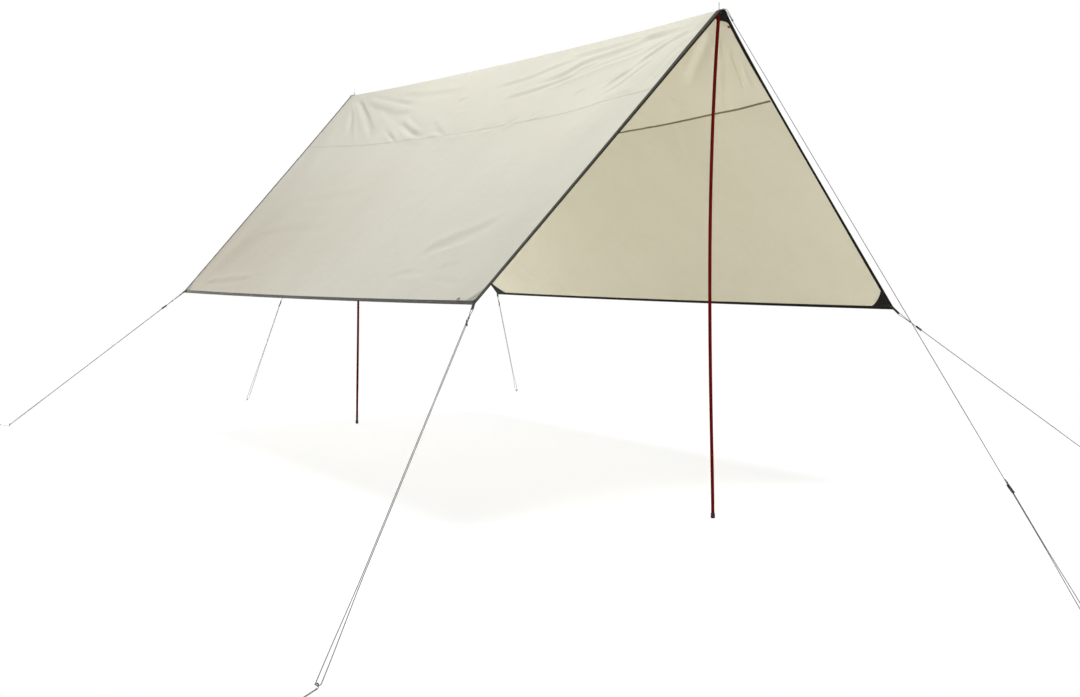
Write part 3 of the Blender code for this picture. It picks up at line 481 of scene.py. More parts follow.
# Rings of equally many points joined into a closed body
def ringsPiece(name, rings, materials, flat=None, faceMaterial=None, smoothTo=40):
    rings = np.asarray(rings, float)
    count, sides = rings.shape[:2]
    points = rings.reshape(-1, 3)
    quads = quadsOf(count, sides, True).tolist()
    caps = [list(reversed(range(sides))), list(range((count - 1) * sides, count * sides))]
    faces = turnedOutward(quads + caps, points)
    marks = None if faceMaterial is None else list(faceMaterial) + [faceMaterial[0], faceMaterial[-1]]
    return newPiece(name, points, faces, materials, flat, None, marks, smoothTo)


# Level rings round an axis that may bow, from pairs of radius and height
def turnedRings(profile, sides, centreAt):
    rings = []
    for radius, height in profile:
        x, y, z = centreAt(height)
        rings.append([(x + radius * math.cos(t), y + radius * math.sin(t), z) for t in turnsOf(sides)])
    return rings


def joined(name, pieces):
    bpy.ops.object.select_all(action="DESELECT")
    for piece in pieces:
        piece.select_set(True)
    bpy.context.view_layer.objects.active = pieces[0]
    bpy.ops.object.join()
    pieces[0].name = name
    pieces[0].data.name = name
    return pieces[0]


# Cords: a round tube along a route, with its own flat coordinates (metres along, turns round)
def smoothRoute(points, step=0.004):
    points = np.asarray(points, float)
    gaps = np.linalg.norm(np.diff(points, axis=0), axis=1)
    points = points[np.concatenate([[True], gaps > 1e-6])]
    padded = np.vstack([2 * points[0] - points[1], points, 2 * points[-1] - points[-2]])

    def between(first, second, low, high, t):
        return first + (second - first) * ((t - low) / (high - low))

    made = [points[0]]
    for k in range(1, len(padded) - 2):
        p = padded[k - 1 : k + 3]
        knots = np.cumsum([0.0, *np.sqrt(np.linalg.norm(np.diff(p, axis=0), axis=1))])
        count = max(2, min(int(np.linalg.norm(p[2] - p[1]) / step), 14))
        for t in np.linspace(knots[1], knots[2], count + 1)[1:]:
            a = [between(p[i], p[i + 1], knots[i], knots[i + 1], t) for i in range(3)]
            b = [between(a[i], a[i + 1], knots[i], knots[i + 2], t) for i in range(2)]
            made.append(between(b[0], b[1], knots[1], knots[2], t))
    return np.array(made)


# Length along a route at each of its points
def runOf(route):
    return np.concatenate([[0], np.cumsum(np.linalg.norm(np.diff(route, axis=0), axis=1))])


def sweepFrames(route):
    tangents = unit(np.gradient(route, axis=0))
    side = np.cross(tangents[0], (0.0, 0.0, 1.0))
    if np.linalg.norm(side) < 0.2:
        side = np.cross(tangents[0], (0.0, 1.0, 0.0))
    sides = [side / np.linalg.norm(side)]
    for tangent in tangents[1:]:
        side = sides[-1] - tangent * np.dot(sides[-1], tangent)
        sides.append(side / np.linalg.norm(side))
    sides = np.array(sides)
    return sides, np.cross(tangents, sides)


def cordPiece(name, route, radius, material, sides=12, radii=None):
    route = np.asarray(route, float)
    across, over = sweepFrames(route)
    turns = np.linspace(0, 2 * math.pi, sides + 1)[:-1, None]
    size = np.full(len(route), radius) if radii is None else np.asarray(radii, float)
    rings = route[:, None] + size[:, None, None] * (across[:, None] * np.cos(turns) + over[:, None] * np.sin(turns))
    # each ring is held once, and its last face takes the first place round with a whole turn more
    along = runOf(route)
    points = rings.reshape(-1, 3)
    faces = quadsOf(len(route), sides, True).tolist()
    faces += [list(reversed(range(sides))), list(range((len(route) - 1) * sides, len(route) * sides))]
    piece = newPiece(name, points, turnedOutward(faces, points), [material], smoothTo=60)
    layer = piece.data.uv_layers.new(name="flat")
    values = []
    for polygon in piece.data.polygons:
        held = [piece.data.loops[k].vertex_index for k in polygon.loop_indices]
        wraps = len(held) == 4 and any(v % sides == sides - 1 for v in held) and any(v % sides == 0 for v in held)
        for v in held:
            turn = v % sides
            values += [along[v // sides], (sides if wraps and turn == 0 else turn) / sides]
    layer.data.foreach_set("uv", np.asarray(values, np.float32))
    return piece


# The straight run of a guy line, from the end of its loop down to its peg
guySet = {
    "cordRadius": 0.0015,
    "strandOffset": 0.0025,
    "footOffset": 0.0090,
    "loopRadius": 0.0088,
    "spikeLoopRadius": 0.0062,
    "knotLength": 0.012,
    "runnerLength": 0.038,
    "clear": 0.0003,
    "loopStep": 0.002,  # spacing of the points along a loop or a knot, and along a line
    "lineStep": 0.005,
    # peg on the ground, its heading, knot and runner down the line in metres, share where the strands part
    "lines": {
        "front_left": ((-2.599, -3.386), (-0.776, -0.630), 0.070, 0.109, 0.76),
        "rear_left": ((-2.215, 3.206), (-0.340, 0.940), 0.072, 0.150, 0.76),
        "rear_right": ((2.170, 3.350), (0.600, 0.800), 0.080, 0.128, 0.76),
        "front_right": ((2.436, -2.664), (0.880, -0.475), 0.070, 0.131, 0.76),
        "front_ridge": ((0.0, -4.087), (0.0, -1.0), 0.070, 2.590, 0.91),
        "rear_ridge": ((-0.170, 3.907), (-0.093, 0.996), 0.070, 1.950, 0.80),
    },
}
pegSet = {"radius": 0.0022, "length": 0.175, "bend": 0.0080, "tail": 0.012, "point": 0.014, "hookHeight": 0.0102}
webbingSet = {
    "width": 0.013, "thick": 0.0012, "rounding": 0.0004, "halfSlot": 0.0019, "inside": 0.030, "outside": 0.0345,
    "barStitches": ((-0.027, -0.018), (-0.012, -0.004)),
}


# Cloth: sags, drawn-in edges, and the share of each slope that the centre strip covers
clothSet = {
    "ridgeSag": 0.020,
    "edgeSag": {"left": 0.009, "right": 0.006},
    "edgeDrawnIn": 0.015,
    "endDrawnIn": {
        ("front", "left"): 0.002,
        ("rear", "left"): 0.020,
        ("front", "right"): 0.026,
        ("rear", "right"): 0.020,
    },
    "slopeSag": 0.022,
    "ridgeRounding": 0.006,
    "flatAtEyelet": {
        ("front", "left"): 0.024,
        ("rear", "left"): 0.014,
        ("front", "right"): 0.014,
        ("rear", "right"): 0.014,
    },
    "flatAtMiddle": 0.006,
    "centreShare": {
        ("front", "left"): 0.296,
        ("rear", "left"): 0.280,
        ("front", "right"): 0.2825,
        ("rear", "right"): 0.280,
    },
    "seamBow": 0.024,
    "thick": 0.0005,
    "cell": {"fan": 0.0092, "middle": 0.019, "across": 0.0104, "side": 0.0135},  # spacings of the mesh
    "fanReach": 1.45,
    "foldsRepeated": 0.6,
    "puckerReach": 0.035,
    "seamGap": 0.0004,
    "holeRadius": 0.0063,
}
# Broad fans: end, side, slope's top or foot, folds in a quarter turn, height, reach
foldFans = (
    ("front", "left", "top", 1.5, 0.006, 1.7),
    ("rear", "left", "top", 2.0, 0.0055, 1.4),
    ("front", "right", "top", 2.0, 0.006, 1.5),
    ("rear", "right", "top", 1.5, 0.005, 1.4),
    ("front", "left", "foot", 1.5, 0.004, 1.0),
    ("rear", "left", "foot", 1.5, 0.004, 1.0),
    ("front", "right", "foot", 1.5, 0.004, 1.0),
    ("rear", "right", "foot", 1.5, 0.004, 1.0),
)
# Single folds: width in mm, height in tenths of a mm, then places along the middle of each one, as mm from the
# front end and mm down from the ridge. Under light from above a positive one shows outside as a dark line, and a
# negative one as a bright line
leftFolds = (
    (14, 49, 760, 196, 930, 232, 1090, 286, 1270, 318, 1480, 336, 1700, 342),
    (14, -45, 360, 158, 560, 176, 760, 204, 960, 246, 1160, 288, 1360, 304),
    (15, 43, 1020, 118, 1260, 150, 1480, 196, 1700, 214, 1920, 222),
    (13, -32, 200, 236, 330, 296, 450, 350, 560, 398, 650, 446),
    (16, 61, 3926, 71, 3696, 183, 3462, 295, 3235, 410, 3109, 476),
    (17, -65, 4008, 74, 3728, 219, 3413, 385, 3158, 517, 3068, 569),
    (14, 44, 4035, 92, 3850, 216, 3674, 344, 3338, 570, 3169, 670),
    (20, 58, 3788, 112, 3519, 180, 3274, 233, 3071, 282, 2850, 305, 2687, 323),
    (18, -50, 3720, 88, 3368, 160, 3079, 219, 2790, 285),
    (24, -51, 3434, 233, 3067, 363, 2743, 472, 2494, 554, 2230, 611),
    (15, -44, 3047, 454, 2878, 522, 2713, 578),
    (14, 46, 2957, 453, 2809, 519, 2634, 584),
    (15, -39, 2904, 449, 2758, 514, 2599, 579),
    (18, 46, 2875, 373, 2682, 443, 2395, 546),
    (16, -50, 2836, 359, 2631, 440, 2387, 522),
    (18, -39, 2756, 463, 2550, 532, 2273, 599),
    (18, -49, 2283, 540, 2179, 550, 2003, 608),
    (18, 44, 2367, 424, 2194, 508, 1998, 593),
    (18, 36, 4000, 166, 3818, 321, 3643, 484),
    (16, -32, 3912, 213, 3737, 354, 3551, 515),
    (16, 26, 3217, 159, 3057, 190, 2899, 212),
    (24, 34, 3245, 90, 2922, 138, 2590, 161, 2209, 178),
    (14, 29, 2249, 280, 2183, 272, 2121, 272),
    (14, -23, 2116, 378, 2041, 379, 1956, 390),
    (20, -40, 1981, 587, 1796, 598, 1655, 598),
    (18, -40, 1585, 599, 1491, 602, 1407, 590),
    (18, -50, 1339, 583, 1275, 583, 1208, 569),
    (14, -36, 1098, 576, 1041, 547, 975, 527),
    (16, 56, 139, 123, 302, 114, 440, 103, 554, 122, 689, 142, 846, 162, 984, 180, 1102, 233, 1253, 259,
     1417, 270),
    (16, -54, 383, 200, 535, 215, 689, 232, 837, 262, 1030, 302, 1252, 326),
    (14, 49, 272, 129, 498, 94, 698, 89, 912, 97, 1112, 103, 1307, 105),
    (13, 48, 63, 141, 141, 171, 224, 197, 297, 245, 364, 302, 431, 360, 509, 411, 576, 480),
    (12, 32, 228, 314, 296, 366, 346, 422, 411, 474, 511, 489),
    (12, 42, 16, 192, 55, 231, 91, 296, 114, 385, 107, 471, 120, 521),
    (14, -34, 16, 272, 52, 338, 63, 421, 62, 493),
    (13, 26, 115, 150, 204, 168, 302, 182, 388, 211, 471, 230),
    (12, 17, 88, 122, 190, 117, 332, 99),
    (14, 22, 715, 402, 777, 413, 820, 442),
    (16, 22, 166, 546, 280, 541, 453, 540),
    (30, 39, 1026, 1527, 885, 1470, 726, 1415, 556, 1366, 401, 1310),
    (20, -19, 889, 1544, 722, 1495, 546, 1450),
    (16, 17, 1155, 1699, 1029, 1665, 885, 1646),
    (16, -17, 1024, 1706, 894, 1693, 725, 1695),
    (15, 16, 673, 1635, 575, 1617, 458, 1607),
    (15, 14, 630, 1709, 454, 1717, 277, 1744),
    (22, 33, 3909, 1805, 3444, 1759, 3052, 1728),
    (34, 20, 3475, 1056, 3017, 1029, 2457, 999),
    (34, 19, 3820, 1380, 3221, 1307, 2461, 1279),
)
insideFolds = (
    (26, -82, 158, 83, 250, 151, 339, 209, 445, 278, 564, 369),
    (26, -42, 661, 430, 723, 486, 778, 544),
    (14, -50, 92, 215, 109, 292, 127, 371, 146, 462),
    (14, -28, 73, 345, 77, 403, 78, 468),
    (15, -33, 116, 142, 138, 207, 168, 259),
    (20, 40, 135, 127, 224, 262, 308, 397, 365, 509),
    (28, -28, 786, 597, 821, 673, 878, 768),
)


def foldRoutes(folds, share=1.0):
    made = []
    for width, height, *places in folds:
        path = [(along / 1000, down / 1000, 0.0) for along, down in zip(places[::2], places[1::2])]
        made.append((width / 1000, height / 10000 * share, smoothRoute(path, 0.05)[:, :2]))
    return made


# The right slope has what shows inside it, and most of the left one's folds at a lower height
routesOf = {
    "left": foldRoutes(leftFolds),
    "right": foldRoutes(insideFolds) + foldRoutes(leftFolds[4:28] + leftFolds[39:], clothSet["foldsRepeated"]),
}


def ridgeLine(a):
    y = (2 * a - 1) * ridgeEnd
    out = np.minimum(np.abs(y) / pitch["poleReach"], 1)
    return y, pitch["eyeletHeight"] - clothSet["ridgeSag"] * (1 - out * out)


def edgeLine(side, a):
    bow = 4 * a * (1 - a)
    front, rear = pitch["corners"]["front", side], pitch["corners"]["rear", side]
    x, y, z = (mixed(front[k], rear[k], a) for k in range(3))
    return x - outward[side] * clothSet["edgeDrawnIn"] * bow, y, z - clothSet["edgeSag"][side] * bow


def slopeLengthAt(side, a):
    x, _, z = edgeLine(side, a)
    return np.hypot(x, ridgeLine(a)[1] - z)


def byEnd(name, side, a):
    values = clothSet[name]
    return np.where(a < 0.5, values["front", side], values["rear", side])


def slopeDrop(x, reach, drop, flat):
    def ramp(t):
        return (t + np.hypot(t, clothSet["ridgeRounding"])) / 2

    start = ramp(-flat)
    return drop * (ramp(x - flat) - start) / (ramp(reach - flat) - start)


def fromEnds(a):
    return np.minimum(a, 1 - a) * ridgeLength


def fanHeight(side, a, down, slopeLength):
    alongFrom = {"front": a * ridgeLength, "rear": (1 - a) * ridgeLength}
    total = np.zeros_like(down)
    for end, fanSide, level, count, height, reach in foldFans:
        if fanSide != side:
            continue
        across = down if level == "top" else slopeLength - down
        distance = np.hypot(alongFrom[end], across)
        turn = np.arctan2(across, alongFrom[end]) / (math.pi / 2)
        inside = smoothStep(0.20, 0.60, distance)
        outside = 1 - smoothStep(0.45 * reach, reach, distance)
        total += height * inside * outside * np.cos(2 * math.pi * count * turn)
    total = total * smoothStep(0.04, 0.25, down) * smoothStep(0.02, 0.25, slopeLength - down)
    return total * smoothStep(0.02, 0.30, fromEnds(a))


# Each single fold is a step with a crest on one side and a hollow on the other, and fades at both ends
def creaseHeight(side, a, down, slopeLength):
    place = np.stack([a * ridgeLength, down], -1)
    total = np.zeros_like(down)
    for width, height, route in routesOf[side]:
        low, high = route.min(0) - 4 * width, route.max(0) + 4 * width
        near = np.all((place > low) & (place < high), -1)
        if not near.any():
            continue
        here = place[near]
        best = np.full(len(here), 1e9)
        offset, run = np.zeros(len(here)), np.zeros(len(here))
        lengths, before = np.linalg.norm(np.diff(route, axis=0), axis=1), runOf(route)
        for k in range(len(lengths)):
            way = (route[k + 1] - route[k]) / lengths[k]
            across = np.array([way[1], -way[0]])
            across = across if across @ (-0.6, -0.8) > 0 else -across  # towards the front and the ridge
            gap = here - route[k]
            t = np.clip(gap @ way, 0, lengths[k])
            apart = np.linalg.norm(gap - t[:, None] * way, axis=1)
            closer = apart < best
            best = np.where(closer, apart, best)
            offset = np.where(closer, np.sign(gap @ across) * apart, offset)
            run = np.where(closer, before[k] + t, run)
        s = offset / width
        share = run / before[-1]
        fade = smoothStep(0, 0.16, share) * (1 - smoothStep(0.72, 1.0, share))
        total[near] += height * s * np.exp(0.5 - s * s / 2) * fade
    rim = smoothStep(0.022, 0.055, fromEnds(a)) * smoothStep(0.022, 0.06, slopeLength - down)
    return total * rim * smoothStep(0.03, 0.08, down)


def clothPoints(side, a, b):
    a, b = np.broadcast_arrays(np.asarray(a, float), np.asarray(b, float))
    topY, topZ = ridgeLine(a)
    footX, footY, footZ = edgeLine(side, a)
    reach, drop = np.abs(footX), topZ - footZ
    flat = mixed(byEnd("flatAtEyelet", side, a), clothSet["flatAtMiddle"], smoothStep(0.12, 0.7, fromEnds(a)))
    drawnIn = byEnd("endDrawnIn", side, a) * np.sin(np.pi * np.sqrt(np.maximum(b, 0)))
    y = mixed(topY, footY, b) + drawnIn * (1 - 2 * a)
    z = topZ - slopeDrop(b * reach, reach, drop, flat)
    slopeLength = np.hypot(reach, drop)
    down = b * slopeLength
    lift = fanHeight(side, a, down, slopeLength) + creaseHeight(side, a, down, slopeLength)
    lift = lift - clothSet["slopeSag"] * np.sin(np.pi * a) * np.sin(np.pi * b)
    x = outward[side] * b * reach + outward[side] * drop / slopeLength * lift
    return np.stack([x, y, z + reach / slopeLength * lift], -1)


def clothNormals(side, a, b):
    a, b = np.broadcast_arrays(np.asarray(a, float), np.asarray(b, float))
    step = 0.0005
    along = clothPoints(side, a + step, b) - clothPoints(side, a - step, b)
    down = clothPoints(side, a, b + step) - clothPoints(side, a, b - step)
    level = unit(np.stack([np.zeros_like(a), -along[..., 2], along[..., 1]], -1))
    return np.where((b <= 1e-9)[..., None], level, unit(np.cross(along, down) * -outward[side]))


def lifted(side, a, b, height):
    return clothPoints(side, a, b) + clothNormals(side, a, b) * np.asarray(height)[..., None]


def seamShare(side, a):
    values = clothSet["centreShare"]
    straight = mixed(values["front", side], values["rear", side], a)
    return straight + clothSet["seamBow"] * np.maximum(np.sin(np.pi * a), 0) ** 0.7


def shareOf(distance):
    return distance / ridgeLength


def spaced(low, high, cell):
    return np.linspace(low, high, max(2, int(round((high - low) / cell)) + 1))


def alongStations():
    near = np.array([0.0, 0.005, 0.010, 0.015, 0.020, 0.026, 0.032, 0.038, 0.045, 0.055])
    reach, cell = clothSet["fanReach"], clothSet["cell"]
    fan = spaced(0.055, reach, cell["fan"])[1:]
    middle = spaced(reach, ridgeLength - reach, cell["middle"])[1:-1]
    ends = ridgeLength - np.concatenate([near, fan])[::-1]
    return np.concatenate([near, fan, middle, ends]) / ridgeLength


# How close a place is to a sewn line, from 0 to 1
def nearSewing(side, a, down, slopeLength):
    seam = np.abs(down - seamShare(side, a) * slopeLength)
    closest = np.minimum(np.minimum(seam, slopeLength - down), fromEnds(a))
    return np.exp(-closest / clothSet["puckerReach"])


# Where a dark patch lies behind the cloth, from 0 to 1. It hardly shows through at the peaks
behindSet = {"corner": (0.145, 0.125), "hollow": 0.82, "peak": (0.090, 0.165), "fade": (0.86, 1.12), "atPeak": 0.15}


def patchBehind(a, down, slopeLength):
    ends, hollow = fromEnds(a), behindSet["hollow"]
    along, up = behindSet["corner"]
    back, lowest = behindSet["peak"]
    corner = (ends / along) ** hollow + ((slopeLength - down) / up) ** hollow
    peak = np.maximum(ends / back, down / lowest)
    atCorner, atPeak = (1 - smoothStep(*behindSet["fade"], reached) for reached in (corner, peak))
    return np.maximum(atCorner, behindSet["atPeak"] * atPeak)


# A thin closed sheet over a grid of places on the two slopes
def sheetPiece(name, columns, top, bottom, materials):
    # columns: for each column across the tarp, its side and the arrays a and b down the stations
    held = []
    for side, a, b in columns:
        slopeLength = slopeLengthAt(side, a)
        down = b * slopeLength
        base, normal = clothPoints(side, a, b), clothNormals(side, a, b)
        flat = np.stack([a * ridgeLength, outward[side] * b * slopeLength], -1)
        close, behind = nearSewing(side, a, down, slopeLength), patchBehind(a, down, slopeLength)
        held.append((base + normal * top, base + normal * bottom, flat, close, behind))
    over, under, flat, close, behind = (np.stack(items, 1) for items in zip(*held))
    rows, count = over.shape[:2]
    points = np.concatenate([over.reshape(-1, 3), under.reshape(-1, 3)])
    topFaces = quadsOf(rows, count)
    first = points[topFaces[len(topFaces) // 2]]
    middle = (rows // 2, count // 2)
    up = over[middle] - under[middle]
    if np.dot(np.cross(first[1] - first[0], first[2] - first[1]), up) < 0:
        topFaces = topFaces[:, ::-1]
    # both faces of the cloth are cut along the same diagonals, or one pokes through the other in a tight fold
    overFaces = np.concatenate([topFaces[:, :3], topFaces[:, [0, 2, 3]]])
    underFaces = overFaces[:, ::-1] + rows * count
    rim = [i * count for i in range(rows)] + [(rows - 1) * count + j for j in range(1, count)]
    rim += [i * count + count - 1 for i in range(rows - 2, -1, -1)] + list(range(count - 2, 0, -1))
    rimFaces = np.array([(v, w, w + rows * count, v + rows * count) for v, w in zip(rim, rim[1:] + rim[:1])])
    edges = {tuple(pair) for face in topFaces[: count + 2].tolist() for pair in zip(face, face[1:] + face[:1])}
    if (rim[-1], rim[0]) in edges or (rim[0], rim[1]) in edges:
        rimFaces = rimFaces[:, ::-1]
    faces = [*overFaces.tolist(), *underFaces.tolist(), *rimFaces.tolist()]
    marks = np.zeros(len(faces), np.int32)
    marks[len(overFaces) : 2 * len(overFaces)] = len(materials) - 1
    flats = np.concatenate([flat.reshape(-1, 2)] * 2)
    values = {"nearSeam": np.concatenate([close.ravel()] * 2), "behind": np.concatenate([behind.ravel()] * 2)}
    return newPiece(name, points, faces, materials, flats, values, marks, 50)


stations = alongStations()


# The stations between two places that lie a share of the ridge in from both ends
def stationsFrom(gap, spare=0.0008):
    held = stations[(stations > gap + spare) & (stations < 1 - gap - spare)]
    return np.concatenate([[gap], held, [1 - gap]])


def stripWidth(side, strip):
    share = float(seamShare(side, 0.5))
    return float(slopeLengthAt(side, 0.5)) * (share if strip == "centre" else 1 - share)


# A place on a side strip, by its distance from the foot of the slope
def aboveFoot(side, a, distance):
    return mixed(seamShare(side, a), 1.0, 1 - distance / stripWidth(side, "side"))


def centreColumns(side, shares):
    end = seamShare(side, stations) - clothSet["seamGap"] / 2 / slopeLengthAt(side, stations)
    return [(side, stations, share * end) for share in shares]


def sideColumns(side, shares):
    start = seamShare(side, stations) + clothSet["seamGap"] / 2 / slopeLengthAt(side, stations)
    return [(side, stations, mixed(start, 1.0, share)) for share in shares]


# Places of the columns of a strip's mesh, closest where the cloth bends most
def stripShares(side, strip):
    width, cell = stripWidth(side, strip), clothSet["cell"]
    if strip == "centre":
        first = [0.0, 0.003, 0.006, 0.010, 0.014, 0.018, 0.023, 0.029, 0.036]
        wide, last = spaced(0.045, width - 0.010, cell["across"]), [width - 0.005, width]
    else:
        first = [0.0, 0.005, 0.010]
        wide, last = spaced(0.020, width - 0.022, cell["side"]), [width - 0.016, width - 0.008, width]
    return np.concatenate([first, wide, last]) / width


def eyeletAxis(end):
    def centreAt(height):
        return 0.0, outward[end] * pitch["poleReach"], pitch["eyeletHeight"] + height

    return centreAt


# A hole for the eyelet's barrel
def cutHole(piece, end):
    profile = [(clothSet["holeRadius"], height) for height in (-0.03, 0.03)]
    cutWith(piece, ringsPiece("holeCutter", turnedRings(profile, 40, eyeletAxis(end)), ["innerRidgePaintedLight"]))


def makeCanopy():
    half = clothSet["thick"] / 2
    left = list(reversed(centreColumns("left", stripShares("left", "centre")[1:])))
    columns = left + centreColumns("right", stripShares("right", "centre"))
    # the inside faces take lighter copies of the cloth, painted light for light coming through it
    centre = sheetPiece("centrePanel", columns, half, -half, ["outerCloth", "innerRidgePaintedLight"])
    for end in ("front", "rear"):
        cutHole(centre, end)
    made = {"centre": centre}
    for side in ("left", "right"):
        columns = sideColumns(side, stripShares(side, "side"))
        made[side] = sheetPiece(f"{side}Panel", columns, half, -half, ["outerCloth", "innerClothPaintedLight"])
    return made


canopy = makeCanopy()
for strip, piece in canopy.items():
    standsFor(piece, f"{strip}_panel")
print("canopy made")


# Edge tapes: folded over the cloth's rim, grey outside; the inside and the turned-down rim are near black, which is
# painted shade on one grey tape
tapeSet = {
    "width": 0.020,
    "frontNarrowing": 0.006,  # where the front rim rolls over
    "thick": 0.0006,
    "seat": 0.00035,
    "turnDown": 0.009,
    "leastTurn": 0.0004,
    "bend": 0.0016,
    "bendAngles": (0.35, 0.7, 1.05, 1.4),
    "butt": 0.0003,
}


# Centre line of the tape from its border on the cloth to the rim, and past it where the rim turns down
def tapePath(borderPlace, rimPlace, turnDown):
    side, borderA, borderB = borderPlace
    _, rimA, rimB = rimPlace
    places = [(side, mixed(borderA, rimA, t), mixed(borderB, rimB, t)) for t in np.linspace(0, 1, 6)]
    path, normals = (np.stack([of(*place) for place in places], 1) for of in (clothPoints, clothNormals))
    out = unit(path[:, -1] - path[:, 0])
    normal = unit(normals[:, -1] - out * np.sum(normals[:, -1] * out, -1, keepdims=True))
    if turnDown is not None:
        added, tilts = [], []
        for angle in tapeSet["bendAngles"]:
            aside = out * math.sin(angle) - normal * (1 - math.cos(angle))
            added.append(path[:, 5] + aside * tapeSet["bend"])
            tilts.append(normal * math.cos(angle) + out * math.sin(angle))
        out = unit(out * math.cos(angle) - normal * math.sin(angle))
        end = added[-1]
        for share in (0.35, 0.7, 1.0):
            added.append(end + out * (turnDown * share)[:, None])
            tilts.append(tilts[-1])
        path = np.concatenate([path, np.stack(added, 1)], 1)
        normals = np.concatenate([normals, np.stack(tilts, 1)], 1)
    return path, unit(normals), out


def tapePiece(name, path, normals, out, outerStrips):
    inner = clothSet["thick"] / 2 + tapeSet["seat"]
    outer = inner + tapeSet["thick"]
    arcs = [normals[:, -1] * math.cos(t) + out * math.sin(t) for t in np.linspace(0, math.pi, 7)[1:-1]]
    outerCap, innerCap = (np.stack([path[:, -1] + arc * reach for arc in arcs], 1) for reach in (outer, inner))
    back, under = path[:, ::-1], normals[:, ::-1]
    outside = [path + normals * outer, outerCap, back - under * outer]
    rings = np.concatenate([*outside, path - normals * inner, innerCap[:, ::-1], back + under * inner], 1)
    count, sides = rings.shape[:2]
    middles = (path[:, 0] + path[:, 5]) / 2
    along = runOf(middles)
    around = np.concatenate([np.zeros((count, 1)), np.cumsum(np.linalg.norm(np.diff(rings, axis=1), axis=2), 1)], 1)
    flat = np.stack([np.broadcast_to(along[:, None], around.shape), around], -1)
    row = np.ones(sides, np.int32)
    row[:outerStrips] = row[-1] = 0
    marks = np.tile(row, count - 1)
    return ringsPiece(name, rings, ["tapeOuter", "tapeInnerPaintedShade"], flat.reshape(-1, 2), marks, 50)


# Places down a whole slope near an end, for the tapes that run over the ridge
def slopeColumn(side, a, beyond):
    seam = float(seamShare(side, a))
    shares = [share * seam for share in stripShares(side, "centre")]
    shares += [mixed(seam, 1.0, share) for share in stripShares(side, "side")[1:-1]]
    return np.array([*shares, 1.0 + beyond])


def tapeBorder(end, b):
    if end == "rear":
        return 1 - shareOf(tapeSet["width"]) * np.ones_like(b)
    narrow = tapeSet["frontNarrowing"] * smoothStep(0.13, 0.30, b) * (1 - smoothStep(0.50, 0.95, b))
    return shareOf(tapeSet["width"] - narrow)


def makeTapes():
    made = {}
    border = shareOf(tapeSet["width"])
    a = stationsFrom(shareOf(tapeSet["width"] + tapeSet["butt"]))
    for side in ("left", "right"):
        run = tapePath((side, a, aboveFoot(side, a, tapeSet["width"])), (side, a, np.ones_like(a)), None)
        made[side] = tapePiece(f"{side}EdgeTape", *run, 5)
    beyond = tapeSet["seat"] + tapeSet["thick"]
    for end, a, rimA, outerStrips in (("front", border, 0.0, 10), ("rear", 1 - border, 1.0, 5)):
        halves = []
        for side in ("left", "right"):
            b = slopeColumn(side, a, beyond / float(slopeLengthAt(side, 0.5)))
            turned = None
            if end == "front":  # on the left the rim rolls over, most of all near the peak
                strength = tapeSet["turnDown"] * (1.0 if side == "left" else 0.0)
                turned = strength * np.maximum(1 - b, 0) ** 0.7 * smoothStep(0.0, 0.03, b) + tapeSet["leastTurn"]
            halves.append(tapePath((side, tapeBorder(end, b), b), (side, rimA * np.ones_like(b), b), turned))
        run = [np.concatenate([left[::-1], right[1:]]) for left, right in zip(*halves)]
        made[end] = tapePiece(f"{end}EdgeTape", *run, outerStrips)
    return made


tapes = makeTapes()
for edge, piece in tapes.items():
    standsFor(piece, f"{edge}_edge_binding")
print("edge tapes made")


# Felled seams: a doubled strip inside, and the lap that shows outside, coloured darker than the cloth as painted shade
seamSet = {
    "width": 0.010, "thick": 0.0006, "pastTape": 0.0007, "lapThick": 0.0005, "lapGap": 0.00005, "lapShare": 0.9,
}


def seamStrip(name, side, a, half, top, bottom, material):
    seam, length = seamShare(side, a), slopeLengthAt(side, a)
    columns = [(side, a, seam + offset / length) for offset in np.linspace(-half, half, 5)]
    return sheetPiece(name, columns, top, bottom, [material])


def makeSeams():
    made = {}
    a = stationsFrom(shareOf(tapeSet["width"] + seamSet["pastTape"]))
    low = -clothSet["thick"] / 2 - tapeSet["seat"]
    high = clothSet["thick"] / 2
    half = seamSet["width"] / 2
    for side in ("left", "right"):
        inner = seamStrip(f"{side}Seam", side, a, half, low, low - seamSet["thick"], "seamInner")
        top, bottom = high + seamSet["lapThick"], high + seamSet["lapGap"]
        outer = seamStrip(f"{side}SeamLap", side, a, half * seamSet["lapShare"], top, bottom, "seamOuterPaintedShade")
        made[side] = joined(f"{side}Seam", [inner, outer])
    return made


seams = makeSeams()
for side, piece in seams.items():
    standsFor(piece, f"{side}_seam")
print("seams made")


# Reinforcement patches inside the corners and under the ends of the ridge
patchSet = {
    "thick": 0.0005,
    "drop": 0.0011,
    "cornerAlong": 0.145,
    "cornerDown": 0.125,
    "cornerHollow": 0.22,
    "peakBack": 0.095,
    "peakCurve": 0.012,
    "peakLowest": 0.170,
    "peakRise": 0.055,
}
patchStart = tapeSet["width"] + 0.0006


